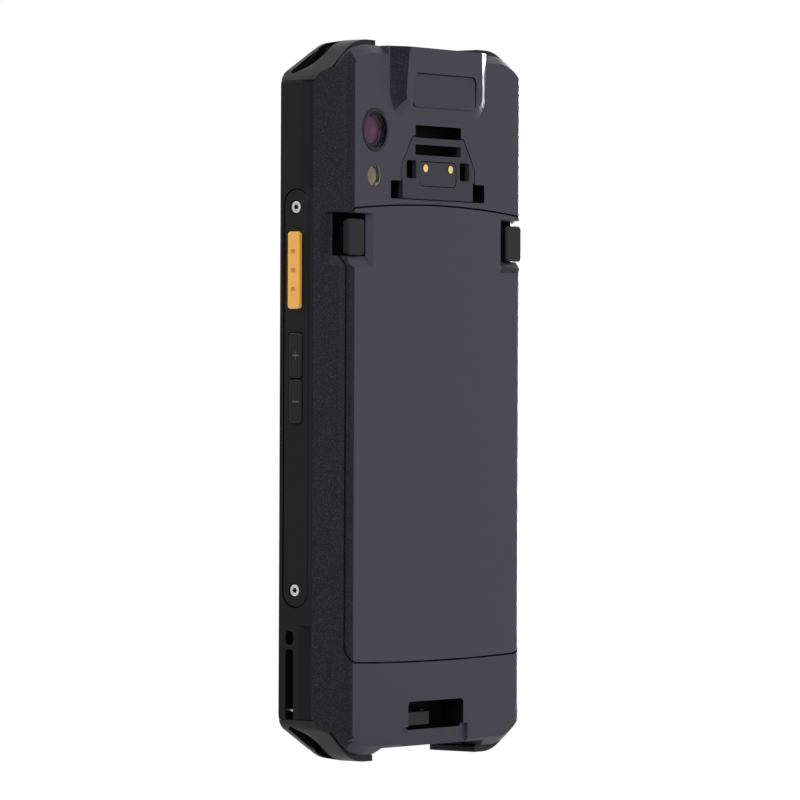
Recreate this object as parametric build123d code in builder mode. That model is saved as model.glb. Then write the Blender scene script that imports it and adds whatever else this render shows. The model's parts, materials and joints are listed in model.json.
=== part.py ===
"""Portable barcode data terminal: a rugged handheld with a removable battery on its back.

Frame: +Z runs up the length, the back faces -Y, the display faces +Y, and the origin lies on the
lowest point, below the middle of the body. Sizes are in millimetres. A depth is counted from the
flat back plane towards the display, so that the hump has negative depths.
"""

from build123d import *
from math import atan2, cos, pi, radians, sin, tan
import os

# ---- body -------------------------------------------------------------------------------------
length = 165.9  # over the corner bumpers
half_width = 38.5
body_depth = 16.5  # flat back plane to the front rim
hump_rise = 2.3
frame_height = 9.5  # the front frame, from its joint with the housing to the front rim
strip_run = 4.5  # the flat back plane ends this far inside the body's side
strip_blend = 4.5  # rounding between back plane and slanted side strip
side_land = 0.2  # upright edge of the housing below its slanted strip
wall = 1.6
seam = 0.05  # face-to-face clearance between seated pieces
gap = 0.4  # visible gap round a cover or plate
fit = 0.15  # clearance of a seated plate or lens

split_depth = body_depth - frame_height  # joint between back housing and front frame
side_depth = split_depth - side_land
flat_half = half_width - strip_run

# ---- outline of the body and of its corner bumpers, seen from the back ------------------------
bumper_proud_low = 1.7  # the bumpers stand this far out at the foot
bumper_proud_high = 1.3
body_low = bumper_proud_low
body_high = length - bumper_proud_high
corner_run = 8.8
corner_drop = 7.9
bumper_run = 10.6
bumper_drop = 8.6
corner_blend = 13.0
shoulder_blend = 4.0
facet_run = 16.0  # the corners widen into a facet towards the front rim
facet_depth = split_depth + 1.6
edge_inset = 2.0  # bevel of the housing's ends towards the back plane
edge_drop = 2.4
foot_half = 20.0  # the bumpers end this far from the middle
foot_height = 3.0  # the bottom edge between the bumpers
foot_ramp = 1.2

# ---- hump over the scan engine ----------------------------------------------------------------
hump_base_half = 19.5
hump_top_half = 14.8
hump_height = 17.0
hump_low = body_high - hump_height
hump_corner = 6.5
hump_drop = 0.6  # the hump's face falls this much from its top edge to its foot
inlay_half = 12.2
inlay_low = hump_low + 3.3
inlay_high = inlay_low + 7.7
inlay_corner = 1.8
inlay_thickness = 0.6
inlay_seat = hump_rise - 1.1  # height of its seat over the back plane

# ---- battery pack -----------------------------------------------------------------------------
cover_margin = 4.5  # the cover stops this far inside the body's side
head_height = 38.0  # the body above the battery cover
cover_half = half_width - cover_margin
cover_low = 22.7
cover_side_high = body_high - head_height
cover_arch = 1.55
cover_low_arch = 0.7
cover_corner = 3.5
cover_step = 1.6  # the cover is narrower above the latches
cover_skin = 1.3
ledge_depth = 3.2
tray_margin = 2.5
tray_half = cover_half - tray_margin
tray_low = cover_low + 2.3
tray_high = cover_side_high - 2.2
tray_wall = 0.8
pack_clearance = 0.4
well_wall = 1.2
well_floor = 0.8
tab_half_gap = 12.0
tab_width = 8.0
tab_drop = 1.2
tab_depth = 2.0
tab_radius = 3.1
terminal_z = tray_low + 6.0
terminal_pitch = 3.0
terminal_count = 5

# ---- front ------------------------------------------------------------------------------------
rim_width = 2.3
glass_half = half_width - rim_width
glass_low = 5.2
glass_high = body_high - 3.4
glass_corner = 11.0
glass_sink = 1.4  # seat of the cover glass behind the front rim
glass_thickness = 1.1
glass_depth = body_depth - glass_sink
gasket_half = glass_half - 0.3
gasket_band = 1.0
panel_half = glass_half - 1.6
panel_low = glass_low + 6.0
panel_high = glass_high - 8.8
panel_corner = 3.0
panel_thickness = 2.0
panel_depth = glass_depth - 0.45 - panel_thickness
shelf_depth = panel_depth - seam
cavity_inset = 3.2
cavity_half = half_width - cavity_inset
chassis_thickness = 1.0
chassis_depth = shelf_depth - seam - chassis_thickness
board_room = 1.85
board_half = half_width - 7.5
board_low = 13.4
board_depth = chassis_depth - board_room
board_thickness = 0.9
receiver_z = glass_high - 4.2
receiver_half = 6.0
front_camera_x = -16.0
front_camera_radius = 2.6
light_x = 15.0
light_radius = 0.9

tray_depth = board_depth - 2 * seam - well_floor - pack_clearance
well_depth = tray_depth + pack_clearance + well_floor

# ---- side bezels and keys ---------------------------------------------------------------------
bezel_low = 35.6
bezel_high = body_high - 33.4
bezel_near = split_depth + 1.3  # depth of its edge towards the back
bezel_far = body_depth - 1.1
bezel_thickness = 1.6
bezel_gap = 0.15
bezel_mid = (bezel_near + bezel_far) / 2
bezel_screw_low = bezel_low + 3.9
bezel_screw_high = bezel_high - 4.1
bezel_screw_radius = 1.35
bezel_screw_depth = bezel_mid + 0.4
key_fit = 0.15
side_key_near = bezel_near + 2.05
side_key_far = side_key_near + 3.35
scan_key_high = bezel_high - 9.7
scan_key_low = scan_key_high - 17.7
scan_key_rise = 1.1
volume_near = bezel_near + 1.7
volume_far = volume_near + 3.8
volume_up_high = scan_key_low - 5.4
volume_up_low = volume_up_high - 10.4
volume_down_high = volume_up_low - 0.3
volume_down_low = volume_down_high - 10.1
volume_rise = 0.3
power_key_high = scan_key_low - 10.8
power_key_low = power_key_high - 9.0
key_travel = 0.4
flange_spread = 0.5
flange_thickness = 0.7
flange_sink = 0.1
flange_out = half_width - bezel_thickness - flange_sink
flange_in = flange_out - flange_thickness
dome_radius = 1.1
dome_height = 0.9
dome_depth = chassis_depth - 1.25
flex_thickness = 0.2
flex_near = split_depth + 1.7
lip_x = half_width - 4.7  # the chassis lips that carry the key flexes
lip_thickness = 0.6
pip_size = 0.9
pip_pitch = 4.3

# ---- screws -----------------------------------------------------------------------------------
screw_x = half_width - 5.3
screw_low_z = cover_low + 4.7
screw_high_z = scan_key_low - 2.7
screw_radius = 0.7
screw_head_radius = 1.2
screw_head_height = 0.75

# ---- latches ----------------------------------------------------------------------------------
key_out = cover_half + 0.1
key_width = 6.3
key_in = key_out - key_width
key_thickness = 1.4
key_sink = 0.3
key_corner = 1.0
latch_travel = 1.1
recess_play = 0.5  # room left beside the pressed key
recess_in = key_in - latch_travel - recess_play
recess_depth = split_depth - 1.4
recess_bevel = 1.15
recess_slope = 2.7
recess_slope_depth = 1.4
recess_out = key_out + 0.9
recess_high = cover_side_high - 0.9
recess_low = recess_high - 9.7
dish_rim = 1.3  # the finger dish stops this far above the joint, along the slanted strip
dish_depth = 1.5
dish_run = 2.0
key_low = recess_low + 0.1
key_high = recess_high - 1.2
stem_in = key_in + 1.0
stem_width = 2.1
hook_depth = recess_depth + 0.95
hook_thickness = 1.25
hook_reach = tray_half + 1.4
hook_half = 2.8
hook_mid = (key_low + key_high) / 2
latch_slot_depth = hook_depth + hook_thickness + 0.1
shoulder_in = recess_in - 3.1  # the shell's thick shoulder round a latch begins here
shoulder_low = recess_low - 2.1
latch_in = shoulder_in - 1.1  # inner face of the latch at rest
spring_seat = latch_in - 5.8
spring_depth = hook_depth - 0.55
spring_radius = 0.95
spring_wire = 0.35
spring_turns = 4

# ---- accessory plate on the back --------------------------------------------------------------
plate_low = cover_side_high + 3.1
plate_shoulder = plate_low + 7.3
plate_high = plate_low + 14.4
plate_low_half = 14.2
plate_mid_half = 14.4
plate_high_half = 9.9
plate_thickness = 1.3
plate_gap = 0.25
slot_half = 8.95
slot_low = plate_high - 0.2
slot_high = slot_low + 2.9
inner_slot_low = plate_low + 10.2
inner_slot_high = inner_slot_low + 2.4
side_pocket_in = 8.5
side_pocket_out = 12.3
side_pocket_low = plate_low + 4.7
side_pocket_high = side_pocket_low + 4.2
foot_pocket_in = 14.2
foot_pocket_out = 18.4
foot_pocket_low = plate_low - 0.2
foot_pocket_high = foot_pocket_low + 4.2
pocket_depth = 3.8
insert_half = 7.1
insert_low = plate_low + 3.1
insert_high = insert_low + 5.6
insert_corner = 1.3
contact_x = 4.9
contact_z = plate_low + 7.2
contact_radius = 0.9
boss_half = 20.0
boss_depth = 4.8

# ---- camera and flash -------------------------------------------------------------------------
camera_x = -boss_half - 4.4
camera_z = body_high - 19.6
camera_radius = 5.0
camera_glass_radius = 4.15
flash_x = camera_x - 0.4
flash_z = camera_z - 10.5
flash_radius = 2.45

# ---- strap anchor notch at the foot of the back -----------------------------------------------
notch_half = 10.8
notch_low = 6.7
notch_high = 13.3
notch_depth = split_depth - 0.8
notch_corner = 1.0
lip_half = 12.6
lip_sink = 0.8
anchor_low = 7.6
anchor_high = 10.7
anchor_depth = 1.6
anchor_thickness = 1.2
anchor_end = -0.6
anchor_screw_x = 1.3
anchor_screw_radius = 1.5

# ---- strap slot in the frame's side -----------------------------------------------------------
strap_slot_near = split_depth + 5.3
strap_slot_far = strap_slot_near + 2.25
strap_slot_low = 9.5
strap_slot_high = 30.2
strap_slot_depth = 2.4
strap_bar_z = 26.5
strap_bar_half = 0.5
strap_pin_z = 12.0
strap_pin_radius = 0.5

# ---- undercut band and bumper pockets ---------------------------------------------------------
undercut_depth = 1.2
undercut_far = split_depth + 3.2
undercut_low_end = bezel_low - 4.1
undercut_high_end = bezel_high + 0.3
bumper_near = split_depth - 3.6
bumper_thickness = 2.0
bumper_side_z = 1.3  # the bumper reaches this far past the corner's side vertex
pocket_run = 15.5
pocket_near = split_depth + 1.6
pocket_far = body_depth - 1.6
pocket_recess = 1.4

# ---- scan engine ------------------------------------------------------------------------------
engine_half = 11.0
engine_height = 11.3
engine_high = body_high - 2.7
engine_low = engine_high - engine_height
engine_near = 0.5
engine_far = split_depth - 0.6
engine_room = 2.2
beam_half = 11.6  # the scanner's opening in the top edge
beam_depth = split_depth - 0.9

# ---- foot of the device: socket, loudspeaker, microphone --------------------------------------
socket_half = 4.5
socket_thickness = 3.2
socket_depth = body_depth - 5.6
socket_length = 11.4
socket_low = foot_height + 0.3
socket_high = socket_low + socket_length
speaker_x = 13.2
speaker_half = 3.8
speaker_slot = 2.3
speaker_width = 10.0
speaker_height = 8.2
microphone_x = -12.0

back_y = hump_rise - (body_depth + hump_rise) / 2
os.makedirs("parts", exist_ok=True)


# ---- helpers ----------------------------------------------------------------------------------
def back_plane(depth):
    """A plane at a depth, with X to the right and Z up; its normal points out of the back."""
    return Plane.XZ.offset(-(back_y + depth))


def side_plane(side, x):
    """A plane at half width x on one side, -1 or 1; its normal points out of that side."""
    return Plane(origin=(side * x, 0, 0), x_dir=(0, side, 0), z_dir=(side, 0, 0))


def window(x0, x1, z0, z1, corner=0.0, mode=Mode.ADD):
    """A rectangle between two corners in the sketch, with rounded corners where asked for."""
    with Locations(((x0 + x1) / 2, (z0 + z1) / 2)):
        if corner > 0:
            RectangleRounded(abs(x1 - x0), abs(z1 - z0), corner, mode=mode)
        else:
            Rectangle(abs(x1 - x0), abs(z1 - z0), mode=mode)


def block(x0, x1, z0, z1, d0, d1, corner=0.0, mode=Mode.ADD):
    """A block between two depths, whose corners are rounded as seen from the back."""
    with BuildSketch(back_plane(d1)) as profile:
        window(x0, x1, z0, z1, corner)
    extrude(profile.sketch, amount=d1 - d0, mode=mode)


def disc(x, z, radius, d0, d1, mode=Mode.ADD):
    """A round disc or hole between two depths."""
    with BuildSketch(back_plane(d1)) as profile:
        with Locations((x, z)):
            Circle(radius)
    extrude(profile.sketch, amount=d1 - d0, mode=mode)


def side_block(side, near, far, z0, z1, x_in, x_out, corner=0.0, mode=Mode.ADD):
    """A block on a side, between two depths and two half widths, rounded as seen from that side."""
    with BuildSketch(side_plane(side, x_in)) as profile:
        window(side * (back_y + near), side * (back_y + far), z0, z1, corner)
    extrude(profile.sketch, amount=x_out - x_in, mode=mode)


def side_disc(side, depth, z, radius, x_in, x_out, mode=Mode.ADD):
    """A round disc or hole whose axis runs across the body."""
    with BuildSketch(side_plane(side, x_in)) as profile:
        with Locations((side * (back_y + depth), z)):
            Circle(radius)
    extrude(profile.sketch, amount=x_out - x_in, mode=mode)


def lobed_recess(radius):
    """A six-lobed drive recess in the sketch."""
    Circle(radius)
    with PolarLocations(radius, 6):
        Circle(radius * 0.33)


def octagon(low, high, run, drop, inset):
    """The body's outline: a rectangle with long corner chamfers, all of them rounded."""
    turn = atan2(drop, run)
    x_out = half_width - inset
    x_in = half_width - run - inset * tan(turn / 2)
    step = drop + inset * tan((pi / 2 - turn) / 2)
    right = [(x_in, high - inset), (x_out, high - step), (x_out, low + step), (x_in, low + inset)]
    left = [(-x, z) for x, z in reversed(right)]
    flat = max(corner_blend - inset, 0.4)
    shoulder = max(shoulder_blend - inset, 0.4)
    radii = [flat, shoulder, shoulder, flat]
    with BuildLine() as edge:
        FilletPolyline(*right, *left, radius=radii + radii, close=True)
    make_face(edge.edges())


def body_outline(inset=0.0):
    """The outline of housing and frame."""
    octagon(body_low, body_high, corner_run, corner_drop, inset)


def bumper_outline(inset=0.0):
    """The outline over the corner bumpers."""
    octagon(0, length, bumper_run, bumper_drop, inset)


def cavity_outline(inset=0.0):
    """The frame's inside, whose corners stay thick behind the bumpers."""
    octagon(body_low, body_high, corner_run + 5, corner_drop + 4.5, cavity_inset + inset)


def back_section(inset, deep):
    """The cross-section of the back half down to a depth: flat back plane and two slanted sides."""
    slant = atan2(side_depth, half_width - flat_half)
    x_flat = flat_half - inset * tan(slant / 2)
    x_side = half_width - inset
    knee = side_depth + inset * tan((pi / 2 - slant) / 2)
    right = [(x_flat, back_y + inset), (x_side, back_y + knee), (x_side, back_y + deep)]
    left = [(-x, y) for x, y in reversed(right)]
    blend = max(strip_blend - inset, 0.4)
    with BuildLine() as edge:
        FilletPolyline(*right, *left, radius=[blend, 0, 0, 0, 0, blend], close=True)
    make_face(edge.edges())


def cover_outline(grow=0.0):
    """The battery cover's outline: arched ends, and narrower from the latches upwards."""
    half = cover_half + grow
    top_half = half - cover_step
    low = cover_low - grow
    low_side = low + cover_low_arch
    high = cover_side_high + grow
    with BuildLine() as edge:
        ThreePointArc((half, low_side), (0, low), (-half, low_side))
        Polyline((-half, low_side), (-half, hook_mid), (-top_half, hook_mid), (-top_half, high))
        ThreePointArc((-top_half, high), (0, high + cover_arch), (top_half, high))
        Polyline((top_half, high), (top_half, hook_mid), (half, hook_mid), (half, low_side))
    make_face(edge.edges())
    fillet(vertices().group_by(Axis.Y)[0], cover_corner + grow)
    fillet(vertices().group_by(Axis.Y)[-1], 1.0 + grow)


def save(part, label):
    """Label a finished piece and write it."""
    part.label = label
    export_step(part, f"parts/{label}.step")


def latch_recess(side):
    """The finger recess round a latch key, cut from housing and battery shell alike."""
    block(side * recess_in, side * recess_out, recess_low, recess_high, -1, recess_depth, mode=Mode.SUBTRACT)
    # bevels in the flat back plane, lifted a little out of it
    lift = 0.4
    share = 1 + lift / recess_slope_depth
    with BuildSketch(back_plane(recess_slope_depth)) as floor:
        window(side * recess_in, side * half_width, recess_low, recess_high)
    with BuildSketch(back_plane(-lift)) as mouth:
        window(side * (recess_in - recess_bevel * share), side * half_width,
               recess_low - recess_slope * share, recess_high + 0.2)
    loft([floor.sketch, mouth.sketch], ruled=True, mode=Mode.SUBTRACT)
    # finger dish in the slanted strip
    slant = atan2(side_depth, strip_run)
    strip = Plane(origin=(side * flat_half, back_y, 0), x_dir=(side * cos(slant), sin(slant), 0),
                  z_dir=(side * sin(slant), -cos(slant), 0))
    rim = strip_run / cos(slant) - dish_rim
    share = 1 + lift / dish_depth
    with BuildSketch(strip.offset(-dish_depth)) as floor:
        window(-3, rim - dish_run, side * recess_low, side * recess_high, 0.8)
    with BuildSketch(strip.offset(lift)) as mouth:
        window(-3, rim - dish_run + dish_run * share, side * (recess_low - recess_slope * share),
               side * (recess_high + 0.2), 2.0)
    loft([floor.sketch, mouth.sketch], ruled=True, mode=Mode.SUBTRACT)


# ---- back housing -----------------------------------------------------------------------------
well_half = tray_half + pack_clearance
well_low = tray_low - pack_clearance - well_wall
well_high = cover_side_high + cover_arch + gap + well_wall
terminal_half = terminal_pitch * (terminal_count - 1) / 2

with BuildPart() as hump:
    with BuildSketch(back_plane(0.3)):
        window(-hump_base_half, hump_base_half, hump_low, body_high + 20, hump_corner)
    slope = atan2(hump_base_half - hump_top_half, hump_rise) * 180 / pi
    extrude(amount=hump_rise + 0.3, taper=slope)
    with BuildSketch(Plane.YZ):
        with BuildLine():
            Polyline(
                (back_y - hump_rise, body_high),
                (back_y - hump_rise + hump_drop, hump_low),
                (back_y - hump_rise - 2, hump_low),
                (back_y - hump_rise - 2, body_high),
                close=True,
            )
        make_face()
    extrude(amount=2 * hump_base_half, both=True, mode=Mode.SUBTRACT)
    block(-half_width, half_width, body_high, body_high + 30, -10, 5, mode=Mode.SUBTRACT)
    # root of the hump in the bevelled top edge
    block(-hump_base_half, hump_base_half, hump_low + hump_corner, body_high, 0, edge_drop)

with BuildPart() as housing_cavity:
    with BuildSketch(Plane.XY):
        back_section(wall, split_depth + 1)
    extrude(amount=length)
    with BuildSketch(back_plane(split_depth + 1)):
        body_outline(wall + 0.3)
    extrude(amount=split_depth + 2, mode=Mode.INTERSECT)
    block(-half_width, half_width, well_low - 2.2, well_high, -3, body_depth, mode=Mode.SUBTRACT)

with BuildPart() as back_housing:
    with BuildSketch(back_plane(split_depth + 1)):
        body_outline()
    extrude(amount=split_depth + 1 - edge_drop)
    # bevel of the top and bottom ends towards the back plane, which it passes
    with BuildSketch(back_plane(edge_drop)):
        body_outline()
    with BuildSketch(back_plane(-edge_drop / 2)):
        body_outline(edge_inset * 1.5)
    loft(ruled=True)
    with BuildSketch(Plane.XY):
        back_section(0, split_depth)
    extrude(amount=length, mode=Mode.INTERSECT)
    add(hump.part)
    add(housing_cavity.part, mode=Mode.SUBTRACT)
    # room for the scan engine under the hump, and its window in the top edge
    block(-engine_half - engine_room, engine_half + engine_room, engine_low - 1.0, body_high - wall,
          -hump_rise + wall + 0.6, 3, 1.0, mode=Mode.SUBTRACT)
    block(-beam_half, beam_half, body_high - wall - 1, body_high + 1, 0, beam_depth + 0.1, mode=Mode.SUBTRACT)
    # seat of the inlay on the hump
    block(-inlay_half - fit, inlay_half + fit, inlay_low - fit, inlay_high + fit, -4, -inlay_seat,
          inlay_corner,
          mode=Mode.SUBTRACT)
    # bosses behind the accessory plate and round the strap notch
    block(-boss_half, boss_half, plate_low - 1.6, slot_high + 1.6, wall - 0.2, boss_depth)
    block(-notch_half - 1.6, notch_half + 1.6, foot_height, notch_high + 1.6, wall - 0.2, split_depth)
    # tub of the battery well
    block(-well_half - well_wall, well_half + well_wall, well_low,
          tray_high + pack_clearance + well_wall + 0.4,
          split_depth - 1, well_depth)
    with BuildSketch(back_plane(ledge_depth)):
        cover_outline(gap)
    extrude(amount=ledge_depth + 4, mode=Mode.SUBTRACT)
    block(-well_half, well_half, tray_low - pack_clearance, tray_high + pack_clearance + 0.4, -1,
          tray_depth + pack_clearance, 1.0, mode=Mode.SUBTRACT)
    for side in (-1, 1):
        # hollow of the side wall, along the well
        with BuildSketch(Plane.XY.offset(screw_low_z + 2.6)):
            with BuildLine():
                Polyline(
                    (side * (half_width - 4.9), back_y + ledge_depth + 1.6),
                    (side * (half_width - 3.6), back_y + ledge_depth + 1.6),
                    (side * (half_width - 1.9), back_y + split_depth),
                    (side * (half_width - 4.9), back_y + split_depth),
                    close=True,
                )
            make_face()
        extrude(amount=screw_high_z - screw_low_z - 6.6, mode=Mode.SUBTRACT)
        latch_recess(side)
        # pocket for the latch hook, under a lip of the recess
        block(side * (tray_half - 1), side * (hook_reach + 0.5), hook_mid - hook_half - 0.3,
              hook_mid + hook_half + 0.3, hook_depth - 0.1, latch_slot_depth + 0.1, mode=Mode.SUBTRACT)
        # slot under the bottom edge for the battery's tab
        block(side * (tab_half_gap - 0.3), side * (tab_half_gap + tab_width + 0.3),
              cover_low - gap - tab_drop - 0.6, cover_low + 1, tab_depth - 0.4, tab_depth + 2.4,
              mode=Mode.SUBTRACT)
        # holes of the housing screws, in the ledge
        for screw_z in (screw_low_z, screw_high_z):
            disc(side * screw_x, screw_z, screw_head_radius + 0.1, ledge_depth - 0.2,
                 ledge_depth + screw_head_height + fit, mode=Mode.SUBTRACT)
            disc(side * screw_x, screw_z, screw_radius + fit, ledge_depth, split_depth + 3,
                 mode=Mode.SUBTRACT)
        block(side * foot_pocket_in, side * foot_pocket_out, foot_pocket_low, foot_pocket_high, -1,
              pocket_depth, 0.4, mode=Mode.SUBTRACT)
    # opening of the battery connector in the well's floor
    block(-terminal_half - 2.2, terminal_half + 2.2, terminal_z - 3.2, terminal_z + 3.2, tray_depth,
          well_depth + 1,
          0.6, mode=Mode.SUBTRACT)
    # camera and flash windows
    disc(camera_x, camera_z, camera_radius + 0.05, -1, 4, mode=Mode.SUBTRACT)
    disc(flash_x, flash_z, flash_radius + 0.05, -1, 4, mode=Mode.SUBTRACT)
    # seat, slots and pockets of the accessory plate
    with BuildSketch(back_plane(plate_thickness)):
        with BuildLine():
            FilletPolyline(
                (-plate_low_half - plate_gap, plate_low - plate_gap),
                (plate_low_half + plate_gap, plate_low - plate_gap),
                (plate_mid_half + plate_gap, plate_shoulder),
                (plate_high_half + plate_gap, plate_high + plate_gap),
                (-plate_high_half - plate_gap, plate_high + plate_gap),
                (-plate_mid_half - plate_gap, plate_shoulder),
                radius=[0.5, 0.5, 1.0, 1.4, 1.4, 1.0],
                close=True,
            )
        make_face()
    extrude(amount=plate_thickness + 1, mode=Mode.SUBTRACT)
    block(-slot_half, slot_half, slot_low, slot_high, -1, pocket_depth, 0.4, mode=Mode.SUBTRACT)
    block(-slot_half, slot_half, inner_slot_low, inner_slot_high, 0, pocket_depth, 0.4, mode=Mode.SUBTRACT)
    for side in (-1, 1):
        block(side * side_pocket_in, side * side_pocket_out, side_pocket_low, side_pocket_high, 0,
              pocket_depth, 0.6, mode=Mode.SUBTRACT)
    # strap notch with its sunk lower lip, and the raised foot between the bumpers
    block(-notch_half, notch_half, notch_low, notch_high, -1, notch_depth, notch_corner, mode=Mode.SUBTRACT)
    block(-lip_half, lip_half, -1, notch_low + 0.8, -1, lip_sink, mode=Mode.SUBTRACT)
    with BuildSketch(back_plane(12)):
        with BuildLine():
            Polyline(
                (-foot_half - foot_ramp, body_low - 3),
                (-foot_half - foot_ramp, body_low),
                (-foot_half, foot_height),
                (foot_half, foot_height),
                (foot_half + foot_ramp, body_low),
                (foot_half + foot_ramp, body_low - 3),
                close=True,
            )
        make_face()
    extrude(amount=20, mode=Mode.SUBTRACT)
    # hole of the anchor screw
    disc(anchor_screw_x, (anchor_low + anchor_high) / 2, 0.8, 4, split_depth + 1, mode=Mode.SUBTRACT)
save(back_housing.part, "back_housing")

with BuildPart() as hump_inlay:
    block(-inlay_half, inlay_half, inlay_low, inlay_high, -inlay_seat - inlay_thickness, -inlay_seat,
          inlay_corner - fit)
save(hump_inlay.part, "hump_inlay")


# ---- front frame ------------------------------------------------------------------------------
def corner_seat(inset):
    """The four corner regions that the bumpers take from the frame, seen from the back."""
    for x_side in (-1, 1):
        for low, high, z_sign in ((0, length, 1), (0, length, -1)):
            z_out = high if z_sign > 0 else low
            knee = z_out - z_sign * (bumper_drop + bumper_side_z - inset)
            with BuildLine() as edge:
                Polyline(
                    (x_side * (half_width + 5), z_out + z_sign * 5),
                    (x_side * (half_width + 5), knee),
                    (x_side * (half_width - 1.55 + inset), knee),
                    (x_side * (half_width - bumper_run - 0.9), z_out - z_sign * (bumper_thickness - inset)),
                    (x_side * (foot_half + foot_ramp + inset), z_out - z_sign * (bumper_thickness - inset)),
                    (x_side * (foot_half + inset), z_out - z_sign * (bumper_thickness - 0.7)),
                    (x_side * (foot_half + inset), z_out + z_sign * 5),
                    close=True,
                )
            make_face(edge.edges())


def pocket_lens(x_side, z_sign, d0, grow):
    """The lens-shaped hollow in a corner's chamfer, as a cut that runs in from outside."""
    turn = atan2(bumper_drop, bumper_run)
    middle_x = x_side * (half_width - bumper_run / 2 - 1.6)
    middle_z = length / 2 + z_sign * (length / 2 - bumper_drop / 2 + 0.9)
    normal = (x_side * sin(turn), 0, z_sign * cos(turn))
    along = (x_side * cos(turn), 0, -z_sign * sin(turn))
    plane = Plane(origin=(middle_x, back_y, middle_z), x_dir=along, z_dir=normal)
    across = 1 if plane.y_dir.Y > 0 else -1
    half = pocket_run / 2 + grow
    with BuildSketch(plane.offset(d0)) as lens:
        with BuildLine() as edge:
            far = across * (pocket_far + grow)
            near = across * (pocket_near - grow)
            Line((-half, near + across * 1.2), (-half, far - across * 0.6))
            Line((-half, far - across * 0.6), (-half + 0.6, far))
            Line((-half + 0.6, far), (half - 1.0, far))
            Line((half - 1.0, far), (half, far - across * 1.0))
            ThreePointArc((half, far - across * 1.0), (half * 0.55, near + across * 1.5), (0, near))
            Line((0, near), (-half + 1.2, near))
            Line((-half + 1.2, near), (-half, near + across * 1.2))
        make_face(edge.edges())
    return lens.sketch


with BuildPart() as corner_facets:
    # bounds of frame and bumpers, whose corners widen into facets towards the front rim
    with BuildSketch(back_plane(facet_depth)):
        bumper_outline()
    extrude(amount=facet_depth + hump_rise)
    with BuildSketch(back_plane(facet_depth)):
        bumper_outline()
    with BuildSketch(back_plane(body_depth)):
        octagon(0, length, facet_run, bumper_drop, 0)
    loft(ruled=True)

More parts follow.
